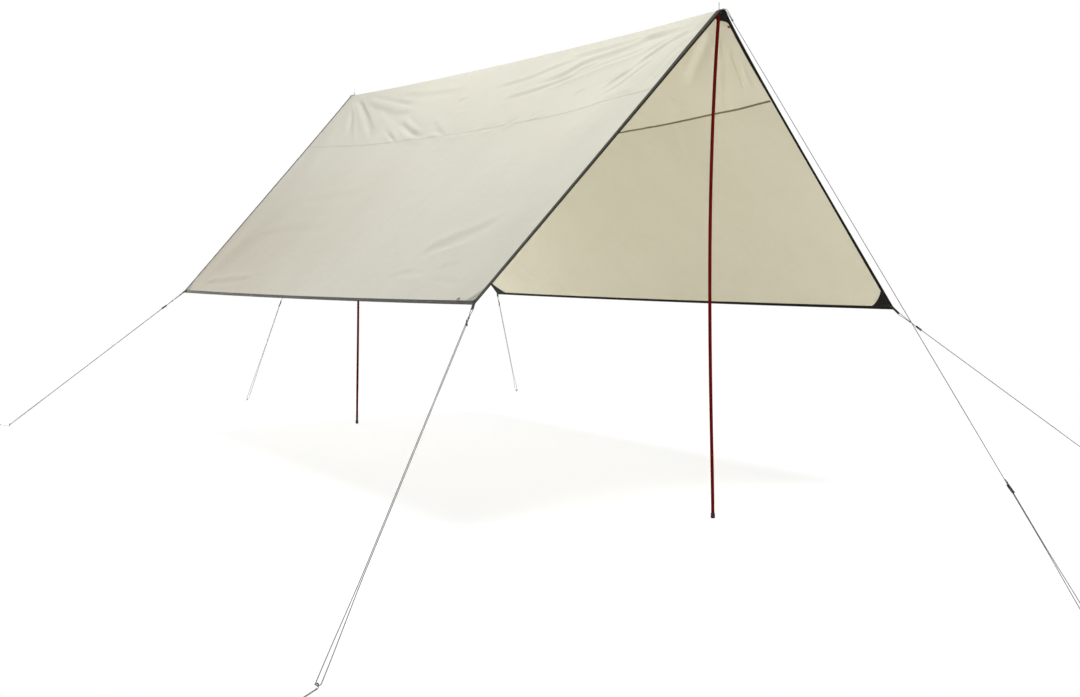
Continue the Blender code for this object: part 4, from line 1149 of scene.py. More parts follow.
def cornerPatchGrid(cells):
    corner = np.array([patchStart, patchStart])
    along = np.array([patchSet["cornerAlong"], patchStart])
    down = np.array([patchStart, patchSet["cornerDown"]])
    pull = mixed((along + down) / 2, corner, patchSet["cornerHollow"])

    def border(u, v):
        if v == 0.0:
            return mixed(corner, along, u)
        if u == 0.0:
            return mixed(corner, down, v)
        t = v / 2 if u == 1.0 else 1 - u / 2
        return along * (1 - t) ** 2 + pull * 2 * t * (1 - t) + down * t * t

    grid = np.zeros((cells + 1, cells + 1, 2))
    for i in range(cells + 1):
        for j in range(cells + 1):
            u, v = i / cells, j / cells
            across = mixed(border(0.0, v), border(1.0, v), u) + mixed(border(u, 0.0), border(u, 1.0), v)
            ends = mixed(mixed(border(0, 0), border(1, 0), u), mixed(border(0, 1), border(1, 1), u), v)
            grid[i, j] = across - ends
    return grid


def cornerPlaces(end, side, grid):
    a = shareOf(grid[..., 0]) if end == "front" else 1 - shareOf(grid[..., 0])
    return a, aboveFoot(side, a, grid[..., 1])


def makePatches():
    made = {}
    top = -patchSet["drop"] + patchSet["thick"] / 2
    grid = cornerPatchGrid(20)
    for end in ("front", "rear"):
        for side in ("left", "right"):
            a, b = cornerPlaces(end, side, grid)
            columns = [(side, *column) for column in zip(a.T, b.T)]
            name = f"{end}{side.title()}CornerPatch"
            made[f"{end}_{side}_corner_patch"] = sheetPiece(name, columns, top, top - patchSet["thick"], ["patchCloth"])
        shares = np.linspace(0, 1, 12)
        ratios = np.concatenate([[0.0, 0.018, 0.036, 0.055, 0.08, 0.11, 0.15, 0.2], np.linspace(0.26, 1.0, 9)])
        columns = []
        for side in ("left", "right"):
            for ratio in ratios if side == "right" else ratios[:0:-1]:
                row = ratio * (patchSet["peakLowest"] - patchSet["peakRise"] * np.sqrt(shares))
                reach = patchSet["peakBack"] - patchSet["peakCurve"] * ratio**2
                along = shareOf(mixed(patchStart, reach, shares))
                a = along if end == "front" else 1 - along
                columns.append((side, a, row * seamShare(side, a)))
        patch = sheetPiece(f"{end}PeakPatch", columns, top, top - patchSet["thick"], ["patchCloth"])
        cutHole(patch, end)
        made[f"{end}_peak_patch"] = patch
    return made


patches = makePatches()
for node, piece in patches.items():
    standsFor(piece, node)
print("patches made:", len(patches))


# Stitches: one tree lays a short thread wherever a row's points come round
stitchSet = {
    "pitch": 0.0062,
    "length": 0.0044,
    "thread": 0.00032,
    "proud": 0.3,  # how far its middle stands off the cloth, as a share of the thread's radius
    "besideSeam": 0.0033,
    "fromBorder": 0.002,
    "insets": (0.06, 0.13),  # of the two rows round a corner patch
}


def newTree(name, sockets):
    tree = bpy.data.node_groups.new(name, "GeometryNodeTree")
    for title, kind, value in sockets:
        socket = tree.interface.new_socket(title, in_out="INPUT", socket_type="NodeSocket" + kind)
        if value is not None:
            socket.default_value = value
    tree.interface.new_socket("Geometry", in_out="OUTPUT", socket_type="NodeSocketGeometry")
    return tree, tree.nodes.new("NodeGroupInput").outputs


# The last steps of both trees
def painted(tree, geometry, taken):
    done = putNode(tree, "GeometryNodeSetMaterial", {"Geometry": geometry, "Material": taken["Material"]})
    tree.links.new(done.outputs[0], tree.nodes.new("NodeGroupOutput").inputs[0])
    return tree


def makeStitchTree():
    sockets = (
        ("Geometry", "Geometry", None),
        ("Spacing", "Float", 0.006),
        ("Length", "Float", 0.004),
        ("Thread", "Float", 0.0003),
        ("Material", "Material", None),
    )
    tree, taken = newTree("stitchRow", sockets)
    line = putNode(tree, "GeometryNodeMeshToCurve", {"Mesh": taken["Geometry"]})
    evened = putNode(tree, "GeometryNodeResampleCurve", {"Curve": line.outputs[0]}, mode="LENGTH")
    tree.links.new(taken["Spacing"], evened.inputs["Length"])
    bead = putNode(tree, "GeometryNodeMeshUVSphere", {"Segments": 6, "Rings": 4, "Radius": 1.0})
    tangent = tree.nodes.new("GeometryNodeInputTangent")
    turned = putNode(tree, "FunctionNodeAlignRotationToVector", {"Vector": tangent.outputs[0]}, axis="X")
    half = maths(tree, "MULTIPLY", taken["Length"], 0.5)
    size = putNode(tree, "ShaderNodeCombineXYZ", {0: half, 1: taken["Thread"], 2: taken["Thread"]})
    inputs = {"Points": evened.outputs[0], "Instance": bead.outputs[0], "Rotation": turned.outputs[0]}
    placed = putNode(tree, "GeometryNodeInstanceOnPoints", inputs)
    tree.links.new(size.outputs[0], placed.inputs["Scale"])
    real = putNode(tree, "GeometryNodeRealizeInstances", {0: placed.outputs[0]})
    smooth = putNode(tree, "GeometryNodeSetShadeSmooth", {"Geometry": real.outputs[0]})
    return painted(tree, smooth.outputs[0], taken)


stitchTree = makeStitchTree()


def runTree(name, tree, source, values):
    # the inputs are set before the object is first evaluated
    modifier = source.modifiers.new("rows", "NODES")
    modifier.node_group = tree
    for item in tree.interface.items_tree:
        if item.in_out == "INPUT" and item.name in values:
            modifier[item.identifier] = values[item.name]
    bpy.context.view_layer.update()
    depsgraph = bpy.context.evaluated_depsgraph_get()
    mesh = bpy.data.meshes.new_from_object(source.evaluated_get(depsgraph))
    bpy.data.objects.remove(source)
    mesh.name = name
    if not mesh.materials:
        mesh.materials.append(values["Material"])
    return linked(name, mesh)


def stitchPiece(name, rows, material):
    points, edges = [], []
    for row in rows:
        start = len(points)
        points += np.asarray(row, float).tolist()
        edges += [(start + k, start + k + 1) for k in range(len(row) - 1)]
    mesh = bpy.data.meshes.new(name + "Rows")
    mesh.from_pydata(points, edges, [])
    source = linked(name + "Rows", mesh)
    values = {
        "Spacing": stitchSet["pitch"],
        "Length": stitchSet["length"],
        "Thread": stitchSet["thread"],
        "Material": finish[material],
    }
    piece = runTree(name, stitchTree, source, values)
    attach(piece, "tarp")
    return piece


def makeStitches():
    past = shareOf(0.022)
    a = stations[(stations > past) & (stations < 1 - past)]
    thread = stitchSet["thread"] * stitchSet["proud"]
    face = clothSet["thick"] / 2
    lapTop = face + seamSet["lapThick"] + thread
    seamLow = -face - tapeSet["seat"] - seamSet["thick"] - thread
    tapeTop = face + tapeSet["seat"] + tapeSet["thick"] + thread
    rows = {"outerSeam": [], "innerSeam": [], "outerTape": [], "innerTape": [], "patch": []}
    for side in ("left", "right"):
        length = slopeLengthAt(side, a)
        for offset in (-stitchSet["besideSeam"], stitchSet["besideSeam"]):
            b = seamShare(side, a) + offset / length
            rows["outerSeam"].append(lifted(side, a, b, lapTop))
            rows["innerSeam"].append(lifted(side, a, b, seamLow))
        lines = [(a, 1 - (tapeSet["width"] - stitchSet["fromBorder"]) / length)]
        for end in ("front", "rear"):
            b = slopeColumn(side, 0.005, 0.0)
            b = b[b * slopeLengthAt(side, 0.0) > 0.012]
            b = b[b < 0.988]
            lines.append((tapeBorder(end, b) + shareOf(stitchSet["fromBorder"]) * outward[end], b))
        for line in lines:
            rows["outerTape"].append(lifted(side, *line, tapeTop))
            rows["innerTape"].append(lifted(side, *line, -tapeTop))
    under = -patchSet["drop"] - patchSet["thick"] / 2 - thread
    grid = cornerPatchGrid(24)
    border = np.concatenate([grid[0, :], grid[1:, -1], grid[-1, -2::-1], grid[-2::-1, 0]])
    for end in ("front", "rear"):
        for side in ("left", "right"):
            for inset in stitchSet["insets"]:
                a, b = cornerPlaces(end, side, mixed(border, grid.mean((0, 1)), inset))
                rows["patch"].append(lifted(side, a, b, under))
    threads = {"outerSeam": "outerThread"}
    return [stitchPiece(f"{name}Stitches", held, threads.get(name, "darkThread")) for name, held in rows.items()]


stitches = makeStitches()
for piece in stitches:
    print(piece.name, len(piece.data.polygons), "faces")


# Eyelets. A body turned from an outline that comes back to its start, so it is hollow
def hollowPiece(name, profile, sides, centreAt, material, smoothTo=35):
    rings = np.array(turnedRings(profile, sides, centreAt))
    count = len(rings)
    points = rings.reshape(-1, 3)
    quads = quadsOf(count + 1, sides, True) % (count * sides)
    return newPiece(name, points, turnedOutward(quads.tolist(), points), [material], smoothTo=smoothTo)


def rounded(profile, radius, steps=3):
    # corners of a closed outline in (radius, height), each eased over a short arc
    made = []
    outline = [Vector(p) for p in profile]
    for before, here, after in zip(outline[-1:] + outline[:-1], outline, outline[1:] + outline[:1]):
        reach = min(radius, (before - here).length * 0.45, (after - here).length * 0.45)
        first, last = here + (before - here).normalized() * reach, here + (after - here).normalized() * reach
        for k in range(steps + 1):
            t = k / steps
            made.append(tuple(first * (1 - t) ** 2 + here * 2 * t * (1 - t) + last * t * t))
    return made


eyeletSet = {"bore": 0.0036, "barrel": 0.0055, "flange": 0.0100, "plate": 0.0008, "over": 0.0007, "under": 0.0038}


def makeEyelets():
    over, under, plate = eyeletSet["over"], -eyeletSet["under"], eyeletSet["plate"]
    bore, barrel, flange = eyeletSet["bore"], eyeletSet["barrel"], eyeletSet["flange"]
    profile = [
        (bore, under - plate),
        (flange, under - plate),
        (flange, under),
        (barrel, under),
        (barrel, over),
        (flange, over),
        (flange - plate / 2, over + plate),
        (bore + plate, over + plate),
        (bore, over + plate / 2),
    ]
    for end in ("front", "rear"):
        piece = hollowPiece(f"{end}Eyelet", rounded(profile, plate / 2), 48, eyeletAxis(end), "eyelet")
        standsFor(piece, f"{end}_eyelet")


makeEyelets()


# Poles: three sections each, a rubber foot and a spiked plug. They bow towards the middle of the tarp
poleSet = {
    "radius": 0.0080,
    "bore": 0.0067,
    "spigot": 0.0064,
    "spigotBore": 0.0052,
    "spigotReach": 0.060,
    "edge": 0.0006,  # how far the ends of a tube are eased
    "bow": 0.046,
    "bowSkew": 1.25,
    "clearance": 0.0003,
    "capRadius": 0.0100,
    "capHeight": 0.025,
    "capFloor": 0.004,
    "spikeRadius": 0.0030,
    "spikeAbove": 0.045,
    "collarRadius": 0.0095,
    "collarHeight": 0.006,
    "plugDepth": 0.030,
    "ribs": {"Count": 24, "Height": 0.0150, "Width": 0.00055},
    "ribMiddle": 0.0115,
}


def poleAxis(end):
    def centreAt(height):
        share = min(max(height / pitch["eyeletHeight"], 0.0), 1.0) ** poleSet["bowSkew"]
        bow = -outward[end] * poleSet["bow"] * 4 * share * (1 - share)
        return 0.0, outward[end] * pitch["poleReach"] + bow, height

    return centreAt


def poleSectionOutline(low, high, hasSpigot):
    radius, bore, reach, edge = (poleSet[key] for key in ("radius", "bore", "spigotReach", "edge"))
    heights = [low + edge, *np.linspace(low + 0.004, high - 0.004, 20), high - edge]
    outline = [(radius - edge, low), *[(radius, h) for h in heights], (radius - edge, high)]
    if hasSpigot:
        spigot, hollow, tip = poleSet["spigot"], poleSet["spigotBore"], high + reach
        outline += [(spigot, high), (spigot, tip - 0.001), (spigot - edge, tip), (hollow, tip), (hollow, high - reach)]
    else:
        outline.append((bore, high))
    return outline + [(bore, h) for h in np.linspace(high - reach, low, 14)]


# Ribs that grip round a foot cap: one tree copies a bar round the pole's axis
def makeRibTree():
    sockets = (
        ("Count", "Int", 20),
        ("Radius", "Float", 0.01),
        ("Height", "Float", 0.015),
        ("Width", "Float", 0.0008),
        ("Middle", "Vector", (0.0, 0.0, 0.01)),
        ("Material", "Material", None),
    )
    tree, taken = newTree("capRibs", sockets)
    circle = putNode(tree, "GeometryNodeMeshCircle", {"Vertices": taken["Count"], "Radius": taken["Radius"]})
    moved = putNode(tree, "GeometryNodeTransform", {"Geometry": circle.outputs[0], "Translation": taken["Middle"]})
    bar = putNode(tree, "GeometryNodeMeshCylinder", {"Vertices": 8, "Radius": taken["Width"], "Depth": taken["Height"]})
    placed = putNode(tree, "GeometryNodeInstanceOnPoints", {"Points": moved.outputs[0], "Instance": bar.outputs[0]})
    real = putNode(tree, "GeometryNodeRealizeInstances", {0: placed.outputs[0]})
    return painted(tree, real.outputs[0], taken)


ribTree = makeRibTree()


def makePoles():
    clear = poleSet["clearance"]
    plugTop = pitch["eyeletHeight"] - eyeletSet["under"] - eyeletSet["plate"] - clear
    collarLow = plugTop - poleSet["collarHeight"]
    tubeLow, tubeHigh = poleSet["capFloor"] + clear, collarLow - clear
    step = (tubeHigh - tubeLow) / 3
    made = {}
    for end in ("front", "rear"):
        axis = poleAxis(end)
        for index, section in enumerate(("lower", "middle", "upper")):
            low = tubeLow + step * index + (clear if index else 0.0)
            high = tubeLow + step * (index + 1)
            outline = poleSectionOutline(low, high, index < 2)
            name = f"{end}Pole{section.title()}"
            made[f"{end}_pole_{section}"] = hollowPiece(name, outline, 36, axis, "pole")
        radius, height, bore = poleSet["capRadius"], poleSet["capHeight"], poleSet["radius"] + clear
        cap = [
            (0.0004, 0.0),
            (radius - 0.0012, 0.0),
            (radius - 0.0003, 0.0004),
            (radius, 0.0014),
            (radius, height - 0.0022),
            (radius - 0.0003, height - 0.0008),
            (radius - 0.0009, height),
            (bore + 0.0002, height),
            (bore, height - 0.0004),
            (bore, poleSet["capFloor"]),
            (0.0004, poleSet["capFloor"]),
        ]
        shell = hollowPiece(f"{end}FootCap", cap, 40, axis, "cap")
        source = linked("ribs", bpy.data.meshes.new("ribs"))
        middle = (0.0, outward[end] * pitch["poleReach"], poleSet["ribMiddle"])
        values = {**poleSet["ribs"], "Radius": radius - 0.0003, "Middle": middle, "Material": finish["cap"]}
        ribs = runTree(f"{end}CapRibs", ribTree, source, values)
        made[f"{end}_foot_cap"] = joined(f"{end}FootCap", [shell, ribs])
        spike, collar, fit = poleSet["spikeRadius"], poleSet["collarRadius"], poleSet["spigot"]
        tip, plugLow = pitch["eyeletHeight"] + poleSet["spikeAbove"], collarLow - poleSet["plugDepth"]
        plug = [
            (0.0006, plugLow),
            (fit - 0.001, plugLow),
            (fit, plugLow + 0.002),
            (fit, collarLow),
            (collar - 0.0005, collarLow),
            (collar, collarLow + 0.0006),
            (collar, plugTop - 0.0006),
            (collar - 0.0006, plugTop),
            (spike, plugTop),
            (spike, tip - 0.007),
            (spike * 0.9, tip - 0.0035),
            (spike * 0.66, tip - 0.0012),
            (spike * 0.3, tip),
        ]
        turned = turnedRings(plug, 36, axis)
        made[f"{end}_pole_spike"] = ringsPiece(f"{end}PoleSpike", turned, ["spikeSteel"], smoothTo=35)
    for node, piece in made.items():
        standsFor(piece, node)
    return made


poles = makePoles()
print("poles made:", len(poles))


# Corner frames: X out to the peg in the plane of the cloth, Z square to the cloth
def cornerFrame(end, side):
    a = 0.0 if end == "front" else 1.0
    corner = Vector(pitch["corners"][end, side])
    peg = Vector((*guySet["lines"][f"{end}_{side}"][0], 0.0))
    normal = Vector(clothNormals(side, a, 1.0))
    towards = peg - corner
    out = (towards - normal * towards.dot(normal)).normalized()
    return framed((out, normal.cross(out), normal), Vector(clothPoints(side, a, 1.0)))


def placed(piece, matrix):
    piece.data.transform(matrix)
    if matrix.determinant() < 0:
        piece.data.flip_normals()
    return piece


# Webbing folded over a corner, ribbed, with two blocks of stitching through it
def makeWebbing():
    thick, half = webbingSet["thick"], webbingSet["width"] / 2
    gap, reach, start = webbingSet["halfSlot"], webbingSet["outside"], -webbingSet["inside"]
    middle = gap + thick / 2
    turn = reach - gap - thick
    path = [(x, middle) for x in np.linspace(start, turn, 16)]
    path += [(turn + middle * math.sin(t), middle * math.cos(t)) for t in np.linspace(0, math.pi, 15)[1:-1]]
    path += [(x, -middle) for x in np.linspace(turn, start, 16)]
    path = np.array(path)
    tangents = unit(np.gradient(path, axis=0))
    normals = np.stack([-tangents[:, 1], tangents[:, 0]], -1)
    rounding = webbingSet["rounding"]
    outline = []
    for sign in (1, -1):
        edge = sign * (half - rounding)
        outline += [(edge, sign * thick / 2), (edge + sign * rounding, 0.0)]
        outline += [(mixed(edge, -edge, t), -sign * thick / 2) for t in (0.0, 0.25, 0.5, 0.75)]
    along = runOf(path)
    made = {}
    for end in ("front", "rear"):
        for side in ("left", "right"):
            rings, flat = [], []
            for centre, normal, run in zip(path, normals, along):
                rings.append([(centre[0] + normal[0] * z, y, centre[1] + normal[1] * z) for y, z in outline])
                flat += [(run, y) for y, _ in outline]
            name = f"{end}{side.title()}WebbingLoop"
            strap = ringsPiece(name, rings, ["webbing"], flat, smoothTo=45)
            place = cornerFrame(end, side)
            placed(strap, place)
            rows = []
            top = gap + thick + stitchSet["thread"] * stitchSet["proud"]
            places = np.linspace(-half + 0.001, half - 0.001, 8)
            for level in (top, -top):
                for low, high in webbingSet["barStitches"]:
                    for k in range(6):
                        rows.append([place @ Vector((mixed(low, high, k / 5), y, level)) for y in places])
            bars = stitchPiece(f"{name}Stitches", rows, "darkThread")
            made[f"{end}_{side}_webbing_loop"] = joined(name, [strap, bars])
    for node, piece in made.items():
        standsFor(piece, node)
    return made


webbing = makeWebbing()


# The small elastic loop by the front left corner, and the folded tag near the front peak
smallSet = {
    "loopAt": 0.043,  # share of the ridge from the front
    "loopRadius": 0.0085,
    "loopCord": 0.0012,
    "tagAt": 0.108,  # metres down from the ridge
    "tag": (0.014, 0.012, 0.0008),  # length, width, thickness
}


def makeSmallPieces():
    a = smallSet["loopAt"]
    b = float(aboveFoot("left", a, tapeSet["width"]))
    base, normal = Vector(clothPoints("left", a, b)), Vector(clothNormals("left", a, b))
    up = (Vector(clothPoints("left", a, b - 0.01)) - base).normalized()
    along = up.cross(normal)
    seat = clothSet["thick"] / 2 + tapeSet["seat"]
    start = base + normal * (seat + smallSet["loopCord"]) + up * 0.001
    radius = smallSet["loopRadius"]
    centre = start + up * 0.005
    arc = [(along * -math.cos(t) + up * math.sin(t)) * radius for t in np.linspace(0, math.pi, 17)]
    route = smoothRoute([start - along * radius, *[centre + aside for aside in arc], start + along * radius], 0.002)
    loop = cordPiece("sideLoop", route, smallSet["loopCord"], "elasticCord")
    standsFor(loop, "side_loop")

    a = shareOf(tapeSet["width"])
    b = smallSet["tagAt"] / float(slopeLengthAt("right", 0.0))
    place, normal = Vector(clothPoints("right", a, b)), Vector(clothNormals("right", a, b))
    inward = (Vector(clothPoints("right", a + 0.001, b)) - place).normalized()
    down = inward.cross(normal)
    long, wide, thick = smallSet["tag"]
    corner = place - normal * (seat + thick) + inward * 0.0014
    outline = rounded([(0, 0), (long, 0), (long, thick), (0, thick)], 0.00035)
    rows = np.linspace(-wide / 2, wide / 2, 5)
    rings = [[corner + down * y + normal * z + inward * x for x, z in outline] for y in rows]
    flat = [(x, y) for y in rows for x, _ in outline]
    tag = ringsPiece("edgeTag", rings, ["tagWeave"], flat, smoothTo=45)
    standsFor(tag, "edge_tag")
    return [loop, tag]


smallPieces = makeSmallPieces()
print("webbing and small pieces made")


# Guy lines
def lineFacts(name):
    peg, heading, knot, runner, spread = guySet["lines"][name]
    end, side = name.split("_")
    heading, peg = Vector((*heading, 0.0)).normalized(), Vector((*peg, 0.0))
    cord, clear = guySet["cordRadius"], guySet["clear"]
    if side == "ridge":
        spike = Vector((0.0, outward[end] * pitch["poleReach"], pitch["eyeletHeight"]))
        centre = spike + Vector((0, 0, eyeletSet["over"] + eyeletSet["plate"] + clear + cord))
        out = Vector((peg.x - spike.x, peg.y - spike.y, 0.0)).normalized()
        across = Vector((-out.y, out.x, 0.0))
        start = centre + out * (pitch["edgePastEyelet"] + 0.014) - Vector((0, 0, 0.006))
        radius, straight = guySet["spikeLoopRadius"], (0.018, 0.034, 0.043)
    else:
        place = cornerFrame(end, side)
        out, across = place.to_3x3().col[0], place.to_3x3().col[1]
        half = webbingSet["width"] / 2 + clear
        rise = math.sqrt((guySet["loopRadius"] - cord) ** 2 - half**2)
        centre = place.translation + out * (webbingSet["outside"] - webbingSet["thick"] + rise - 0.0006)
        start, radius, straight = centre, guySet["loopRadius"], ()
    run = Vector((peg.x - start.x, peg.y - start.y, 0.0)).normalized()
    gap = clear + 1.5 * abs(run.cross(heading).z) * pegSet["radius"]
    seat = peg + Vector((0, 0, pegSet["hookHeight"]))
    heldAt = seat - heading * (pegSet["bend"] - pegSet["radius"] - gap - cord)
    down = (heldAt - start).normalized()
    foot = heldAt - down * guySet["footOffset"]
    return dict(
        name=name, title=end + side.title(), ridge=side == "ridge", peg=peg, heading=heading,
        knot=knot, runner=runner, spread=spread, centre=centre, out=out, loopAcross=across, radius=radius,
        straight=straight, start=start, down=down, across=Vector((-down.y, down.x, 0.0)).normalized(),
        foot=foot, length=(foot - start).length,
    )


def atLine(line, distance, offset):
    return line["start"] + line["down"] * distance + line["across"] * offset


def strandStops(line, sign, first):
    start, end = line["spread"] * line["length"], line["length"]
    stops = [first, first + 0.004, *[mixed(first, start, k / 4) for k in (1, 2, 3)], start]
    stops += [mixed(start, end, share) for share in (0.1, 0.2, 0.3, 0.4, 0.5, 0.6, 0.7, 0.8, 0.9, 0.97)]
    made = []
    for stop in stops:
        half = mixed(guySet["strandOffset"], guySet["footOffset"], float(smoothStep(start, end, stop)))
        made.append(atLine(line, stop, sign * half))
    return made


# One side of the loop, from its far end down to the knot
def loopSide(line, sign):
    centre, out, across, radius = line["centre"], line["out"], line["loopAcross"], line["radius"]
    turns = [math.pi - t for t in np.linspace(0, math.pi / 2, 9)]
    points = [centre + (out * math.cos(t) + across * sign * math.sin(t)) * radius for t in turns]
    points += [centre + out * s + across * sign * radius for s in line["straight"]]
    knotTop = line["knot"] - guySet["knotLength"] / 2
    near = guySet["strandOffset"] - guySet["clear"]
    for share in (0.25, 0.55, 0.85, 1.0):
        spread = mixed(radius, near, float(smoothStep(0.0, 1.0, share)))
        points.append(line["start"] + line["down"] * (share * knotTop) + across * sign * spread)
    return points


def footBend(line):
    foot, down, across = line["foot"], line["down"], line["across"]
    turns = np.linspace(-math.pi / 2, math.pi / 2, 17)
    return [foot + (down * math.cos(t) + across * math.sin(t)) * guySet["footOffset"] for t in turns]


knotSet = {
    "knot": {"coil": 0.0029, "length": 0.0088, "turns": 3.2, "thickness": 0.96},
    "stopper": {"coil": 0.0026, "length": 0.0056, "turns": 2.4, "thickness": 0.8},
    "aboveRunner": 0.003 + 0.004,  # from the runner up to the middle of the stopper
    "tailEnd": 0.022,
}


# Turns of cord wound round the strands, with both ends tucked in
def wrapsPiece(name, line, distance, offset, kind):
    coil, length, turns, thickness = knotSet[kind].values()
    upward = line["down"].cross(line["across"])
    points = []
    for t in np.linspace(0, 1, int(turns * 16) + 1):
        angle = 2 * math.pi * turns * t
        ease = 1 - 0.35 * (1 - min(t, 1 - t) * 8 if min(t, 1 - t) < 0.125 else 0)
        around = line["across"] * math.cos(angle) + upward * math.sin(angle)
        points.append(atLine(line, distance + (t - 0.5) * length, offset) + around * coil * ease)
    return cordPiece(name, smoothRoute(points, guySet["loopStep"]), guySet["cordRadius"] * thickness, "guyCord")


def pathLength(path):
    return float(np.linalg.norm(np.diff(np.asarray(path), axis=0), axis=1).sum())


# Runner: a slim bar across both strands with a beak at its lower end, in millimetres
runnerSet = {
    "outline": (
        (-17.0, -5.9),
        (17.0, -0.8),
        (19.0, 0.8),
        (19.6, 3.2),
        (19.2, 7.6),
        (17.8, 8.4),
        (16.0, 7.3),
        (13.0, 5.3),
        (-17.0, 0.8),
        (-19.0, -0.6),
        (-19.6, -2.8),
        (-19.0, -4.8),
    ),
    "halfWidth": 0.0050,
    "bore": 0.00185,
    "rounding": 0.0012,
    # from one flat side to the other: distance in from it, and how far the outline is drawn in there
    "sides": ((0.0, 0.0012), (0.0003, 0.0005), (0.0012, 0.0)),
}


def runnerFrame(line, distance):
    upward = line["down"].cross(line["across"])
    return framed((line["down"], line["across"], upward), atLine(line, distance, 0.0))


def makeRunnerMesh():
    half = runnerSet["halfWidth"]
    sharp = [(x / 1000, y / 1000) for x, y in runnerSet["outline"]]
    outline = [Vector(p) for p in rounded(sharp, runnerSet["rounding"])]
    levels = [(-half + deep, inset) for deep, inset in runnerSet["sides"]]
    levels += [(half - deep, inset) for deep, inset in reversed(runnerSet["sides"])]
    rings = []
    for depth, inset in levels:
        ring = []
        for before, here, after in zip(outline[-1:] + outline[:-1], outline, outline[1:] + outline[:1]):
            way = (after - before).normalized()
            point = here + Vector((-way.y, way.x)) * inset
            ring.append((point.x, point.y, depth))
        rings.append(ring)
    body = ringsPiece("runnerShape", rings, ["runner"], smoothTo=38)
    bore = runnerSet["bore"]
    for offset in (-guySet["strandOffset"], guySet["strandOffset"]):
        circle = [(offset + bore * math.cos(t), bore * math.sin(t)) for t in turnsOf(24)]
        sections = [[(x, *place) for place in circle] for x in (-0.025, 0.025)]
        cutWith(body, ringsPiece("boreCutter", sections, ["runner"]))
    mesh = body.data
    bpy.data.objects.remove(body)
    return mesh


runnerMesh = makeRunnerMesh()


def makePeg(line):
    radius, bend, long = pegSet["radius"], pegSet["bend"], pegSet["length"]
    route = [(x, 0, radius) for x in (long, long - 0.004, long - pegSet["point"], long - 0.03, 0.1, 0.05, 0.012)]
    for angle in [-math.pi / 2 - t for t in np.linspace(0, math.pi, 25)]:
        route.append((bend * math.cos(angle), 0, radius + bend + bend * math.sin(angle)))
    route.append((pegSet["tail"], 0, radius + 2 * bend + 0.001))
    radii = np.full(len(route), radius)
    radii[:3] = (radius * 0.18, radius * 0.55, radius)
    radii[-1] = radius * 0.96
    peg = cordPiece(f"{line['title']}Peg", route, radius, "pegSteel", 20, radii)
    across = Vector((-line["heading"].y, line["heading"].x, 0))
    return placed(peg, framed((line["heading"], across, Vector((0, 0, 1))), line["peg"]))


def guyCord(name, points):
    route = smoothRoute(points, guySet["lineStep"])
    return route, cordPiece(name, route, guySet["cordRadius"], "guyCord")


# The tail of a ridge line runs from the hook back up to the runner, and ends there in a stopper knot
def makeTail(line, points):
    name, title = line["name"], line["title"]
    route, tail = guyCord(f"{title}Tail", points)
    at = line["runner"] - guySet["runnerLength"] / 2 - knotSet["aboveRunner"]
    stopper = wrapsPiece(f"{title}StopperKnot", line, at, guySet["strandOffset"], "stopper")
    standsFor(stopper, f"{name}_stopper_knot", f"{name}_slider")
    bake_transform(tail)
    return [tail, stopper]


def makeGuys():
    made = []
    for name in guySet["lines"]:
        line = lineFacts(name)
        title, ridge, knotAt = line["title"], line["ridge"], line["knot"]
        knotEnd = knotAt + guySet["knotLength"] / 2
        through = [atLine(line, knotAt + s, 0.0) for s in (-0.0025, 0.0, 0.0025)]
        bend = footBend(line)
        back = line["runner"] - guySet["runnerLength"] / 2 - knotSet["tailEnd"] if ridge else knotEnd + 0.0008
        upward = strandStops(line, 1, back)[::-1]
        outerHalf = smoothRoute(loopSide(line, 1) + [atLine(line, knotAt - 0.003, 0.0)], guySet["loopStep"])
        loop = cordPiece(f"{title}LoopHalf", outerHalf, guySet["cordRadius"], "guyCord")
        knot = joined(f"{title}Knot", [wrapsPiece(f"{title}Wraps", line, knotAt, 0.0, "knot"), loop])
        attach(knot, "tarp")
        runner = placed(linked(f"{title}Runner", runnerMesh.copy()), runnerFrame(line, line["runner"]))
        standsFor(runner, f"{name}_runner", f"{name}_slider")
        peg = makePeg(line)
        standsFor(peg, f"{name}_peg")
        points = loopSide(line, -1) + through + strandStops(line, -1, knotEnd) + bend
        route, cord = guyCord(f"{title}Line", points if ridge else points + upward)
        standsFor(cord, f"{name}_line")
        print(title, "line", round(pathLength(route), 3), "m")
        if ridge:
            made += makeTail(line, bend[-1:] + upward)
        made += [cord, knot, runner, peg]
    return made


guyPieces = makeGuys()
print("guy lines made:", len(guyPieces), "pieces")


# The length along the middle of the left slope, worked out and not used
def declareCloth():
    long = float(np.sum(np.linalg.norm(np.diff(clothPoints("left", stations, 0.5 + 0 * stations), axis=0), axis=1)))


declareCloth()


# Floor, backdrop and light
lightSet = {
    "sky": 0.36,
    "sun": {"strength": 1.25, "from": (-0.08, -0.30, 0.95), "width": 20.0},
    "lamps": {
        "frontTop": {"watts": 24.0, "place": (-1.2, -1.8, 4.0), "aim": (-0.6, -0.9, 1.8), "size": 1.2},
        "rearTop": {"watts": 22.0, "place": (-0.2, 0.6, 4.2), "aim": (-0.2, 0.6, 1.8), "size": 1.2},
        "front": {"watts": 310.0, "place": (-1.1, -10.5, 1.6), "aim": (0.6, 0.0, 1.5), "size": 2.8},
        "rear": {"watts": 1150.0, "place": (-1.1, 10.5, 1.6), "aim": (0.6, 0.0, 1.5), "size": 2.8},
    },
}
floorSet = {
    "size": 90.0, "under": 0.0006, "colour": (0.93, 0.93, 0.93), "seenColour": (0.40, 0.40, 0.40), "glow": 0.71,
    "fade": (3.4, 4.4),  # metres from the middle over which the shadow gives way to plain white
}


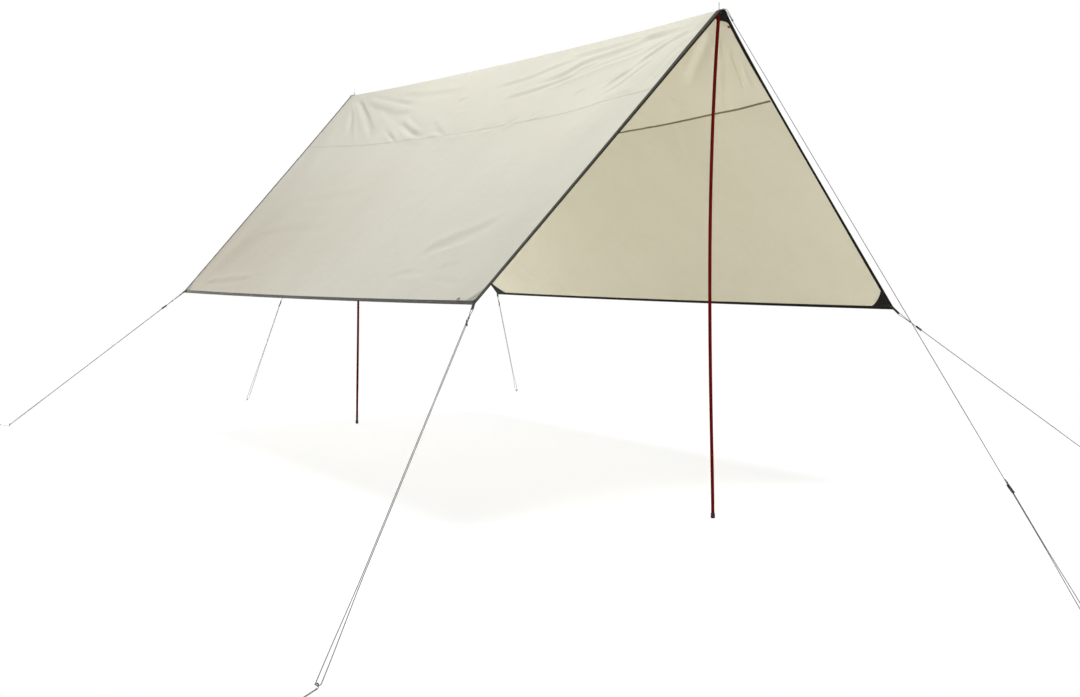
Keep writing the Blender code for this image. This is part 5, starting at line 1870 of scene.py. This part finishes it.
def addLamp(name, kind, aimFrom, place=(0, 0, 0), **settings):
    lamp = bpy.data.lights.new(name, kind)
    for key, value in settings.items():
        setattr(lamp, key, value)
    holder = linked(name, lamp)
    holder.rotation_mode = "QUATERNION"
    holder.rotation_quaternion = Vector(aimFrom).to_track_quat("Z", "Y")
    holder.location = place
    holder.visible_camera = False


def makeFloor():
    size, under = floorSet["size"], -floorSet["under"]
    mesh = bpy.data.meshes.new("floor")
    corners = [(-size, -size, under), (size, -size, under), (size, size, under), (-size, size, under)]
    mesh.from_pydata(corners, [], [(0, 1, 2, 3)])
    floor = linked("floor", mesh)
    tree, shader = newMaterial("floor", 0.9)
    shader.inputs["Base Color"].default_value = (*floorSet["colour"], 1)
    seen = putNode(tree, "ShaderNodeLightPath").outputs["Is Camera Ray"]
    glow = putNode(tree, "ShaderNodeEmission", {"Color": (1, 1, 1, 1), "Strength": floorSet["glow"]})
    shade = putNode(tree, "ShaderNodeBsdfDiffuse", {"Color": (*floorSet["seenColour"], 1)})
    near = putNode(tree, "ShaderNodeAddShader", {0: shade.outputs[0], 1: glow.outputs[0]})
    white = putNode(tree, "ShaderNodeEmission", {"Color": (1, 1, 1, 1), "Strength": 1.0})
    distance = putNode(tree, "ShaderNodeVectorMath", {0: ownPlace(tree)}, operation="LENGTH").outputs["Value"]
    low, high = floorSet["fade"]
    far = maths(tree, "MULTIPLY_ADD", distance, 1 / (high - low), -low / (high - low), clamp=True)
    both = putNode(tree, "ShaderNodeMixShader", {0: far, 1: near.outputs[0], 2: white.outputs[0]})
    picked = putNode(tree, "ShaderNodeMixShader", {0: seen, 1: shader.outputs[0], 2: both.outputs[0]})
    tree.links.new(picked.outputs[0], tree.nodes["Material Output"].inputs["Surface"])
    mesh.materials.append(finish["floor"])


# The sky is white to the camera and in gloss, and dimmer as a light
def makeLight():
    scene = bpy.context.scene
    world = scene.world = bpy.data.worlds.new("sky")
    world.use_nodes = True
    tree = world.node_tree
    sky = tree.nodes["Background"]
    sky.inputs["Color"].default_value = (1, 1, 1, 1)
    path = putNode(tree, "ShaderNodeLightPath")
    seen = maths(tree, "MAXIMUM", path.outputs["Is Camera Ray"], path.outputs["Is Glossy Ray"])
    seen = maths(tree, "MAXIMUM", seen, path.outputs["Is Transmission Ray"])
    strength = maths(tree, "MULTIPLY_ADD", seen, 1.0 - lightSet["sky"], lightSet["sky"])
    tree.links.new(strength, sky.inputs["Strength"])

    sun = lightSet["sun"]
    addLamp("sun", "SUN", sun["from"], energy=sun["strength"], angle=math.radians(sun["width"]))
    for name, lamp in lightSet["lamps"].items():
        aimFrom = Vector(lamp["place"]) - Vector(lamp["aim"])
        addLamp(name, "AREA", aimFrom, lamp["place"], energy=lamp["watts"], size=lamp["size"])
    scene.view_settings.view_transform = "Standard"


makeFloor()
makeLight()
print("stage made")

bpy.context.view_layer.update()
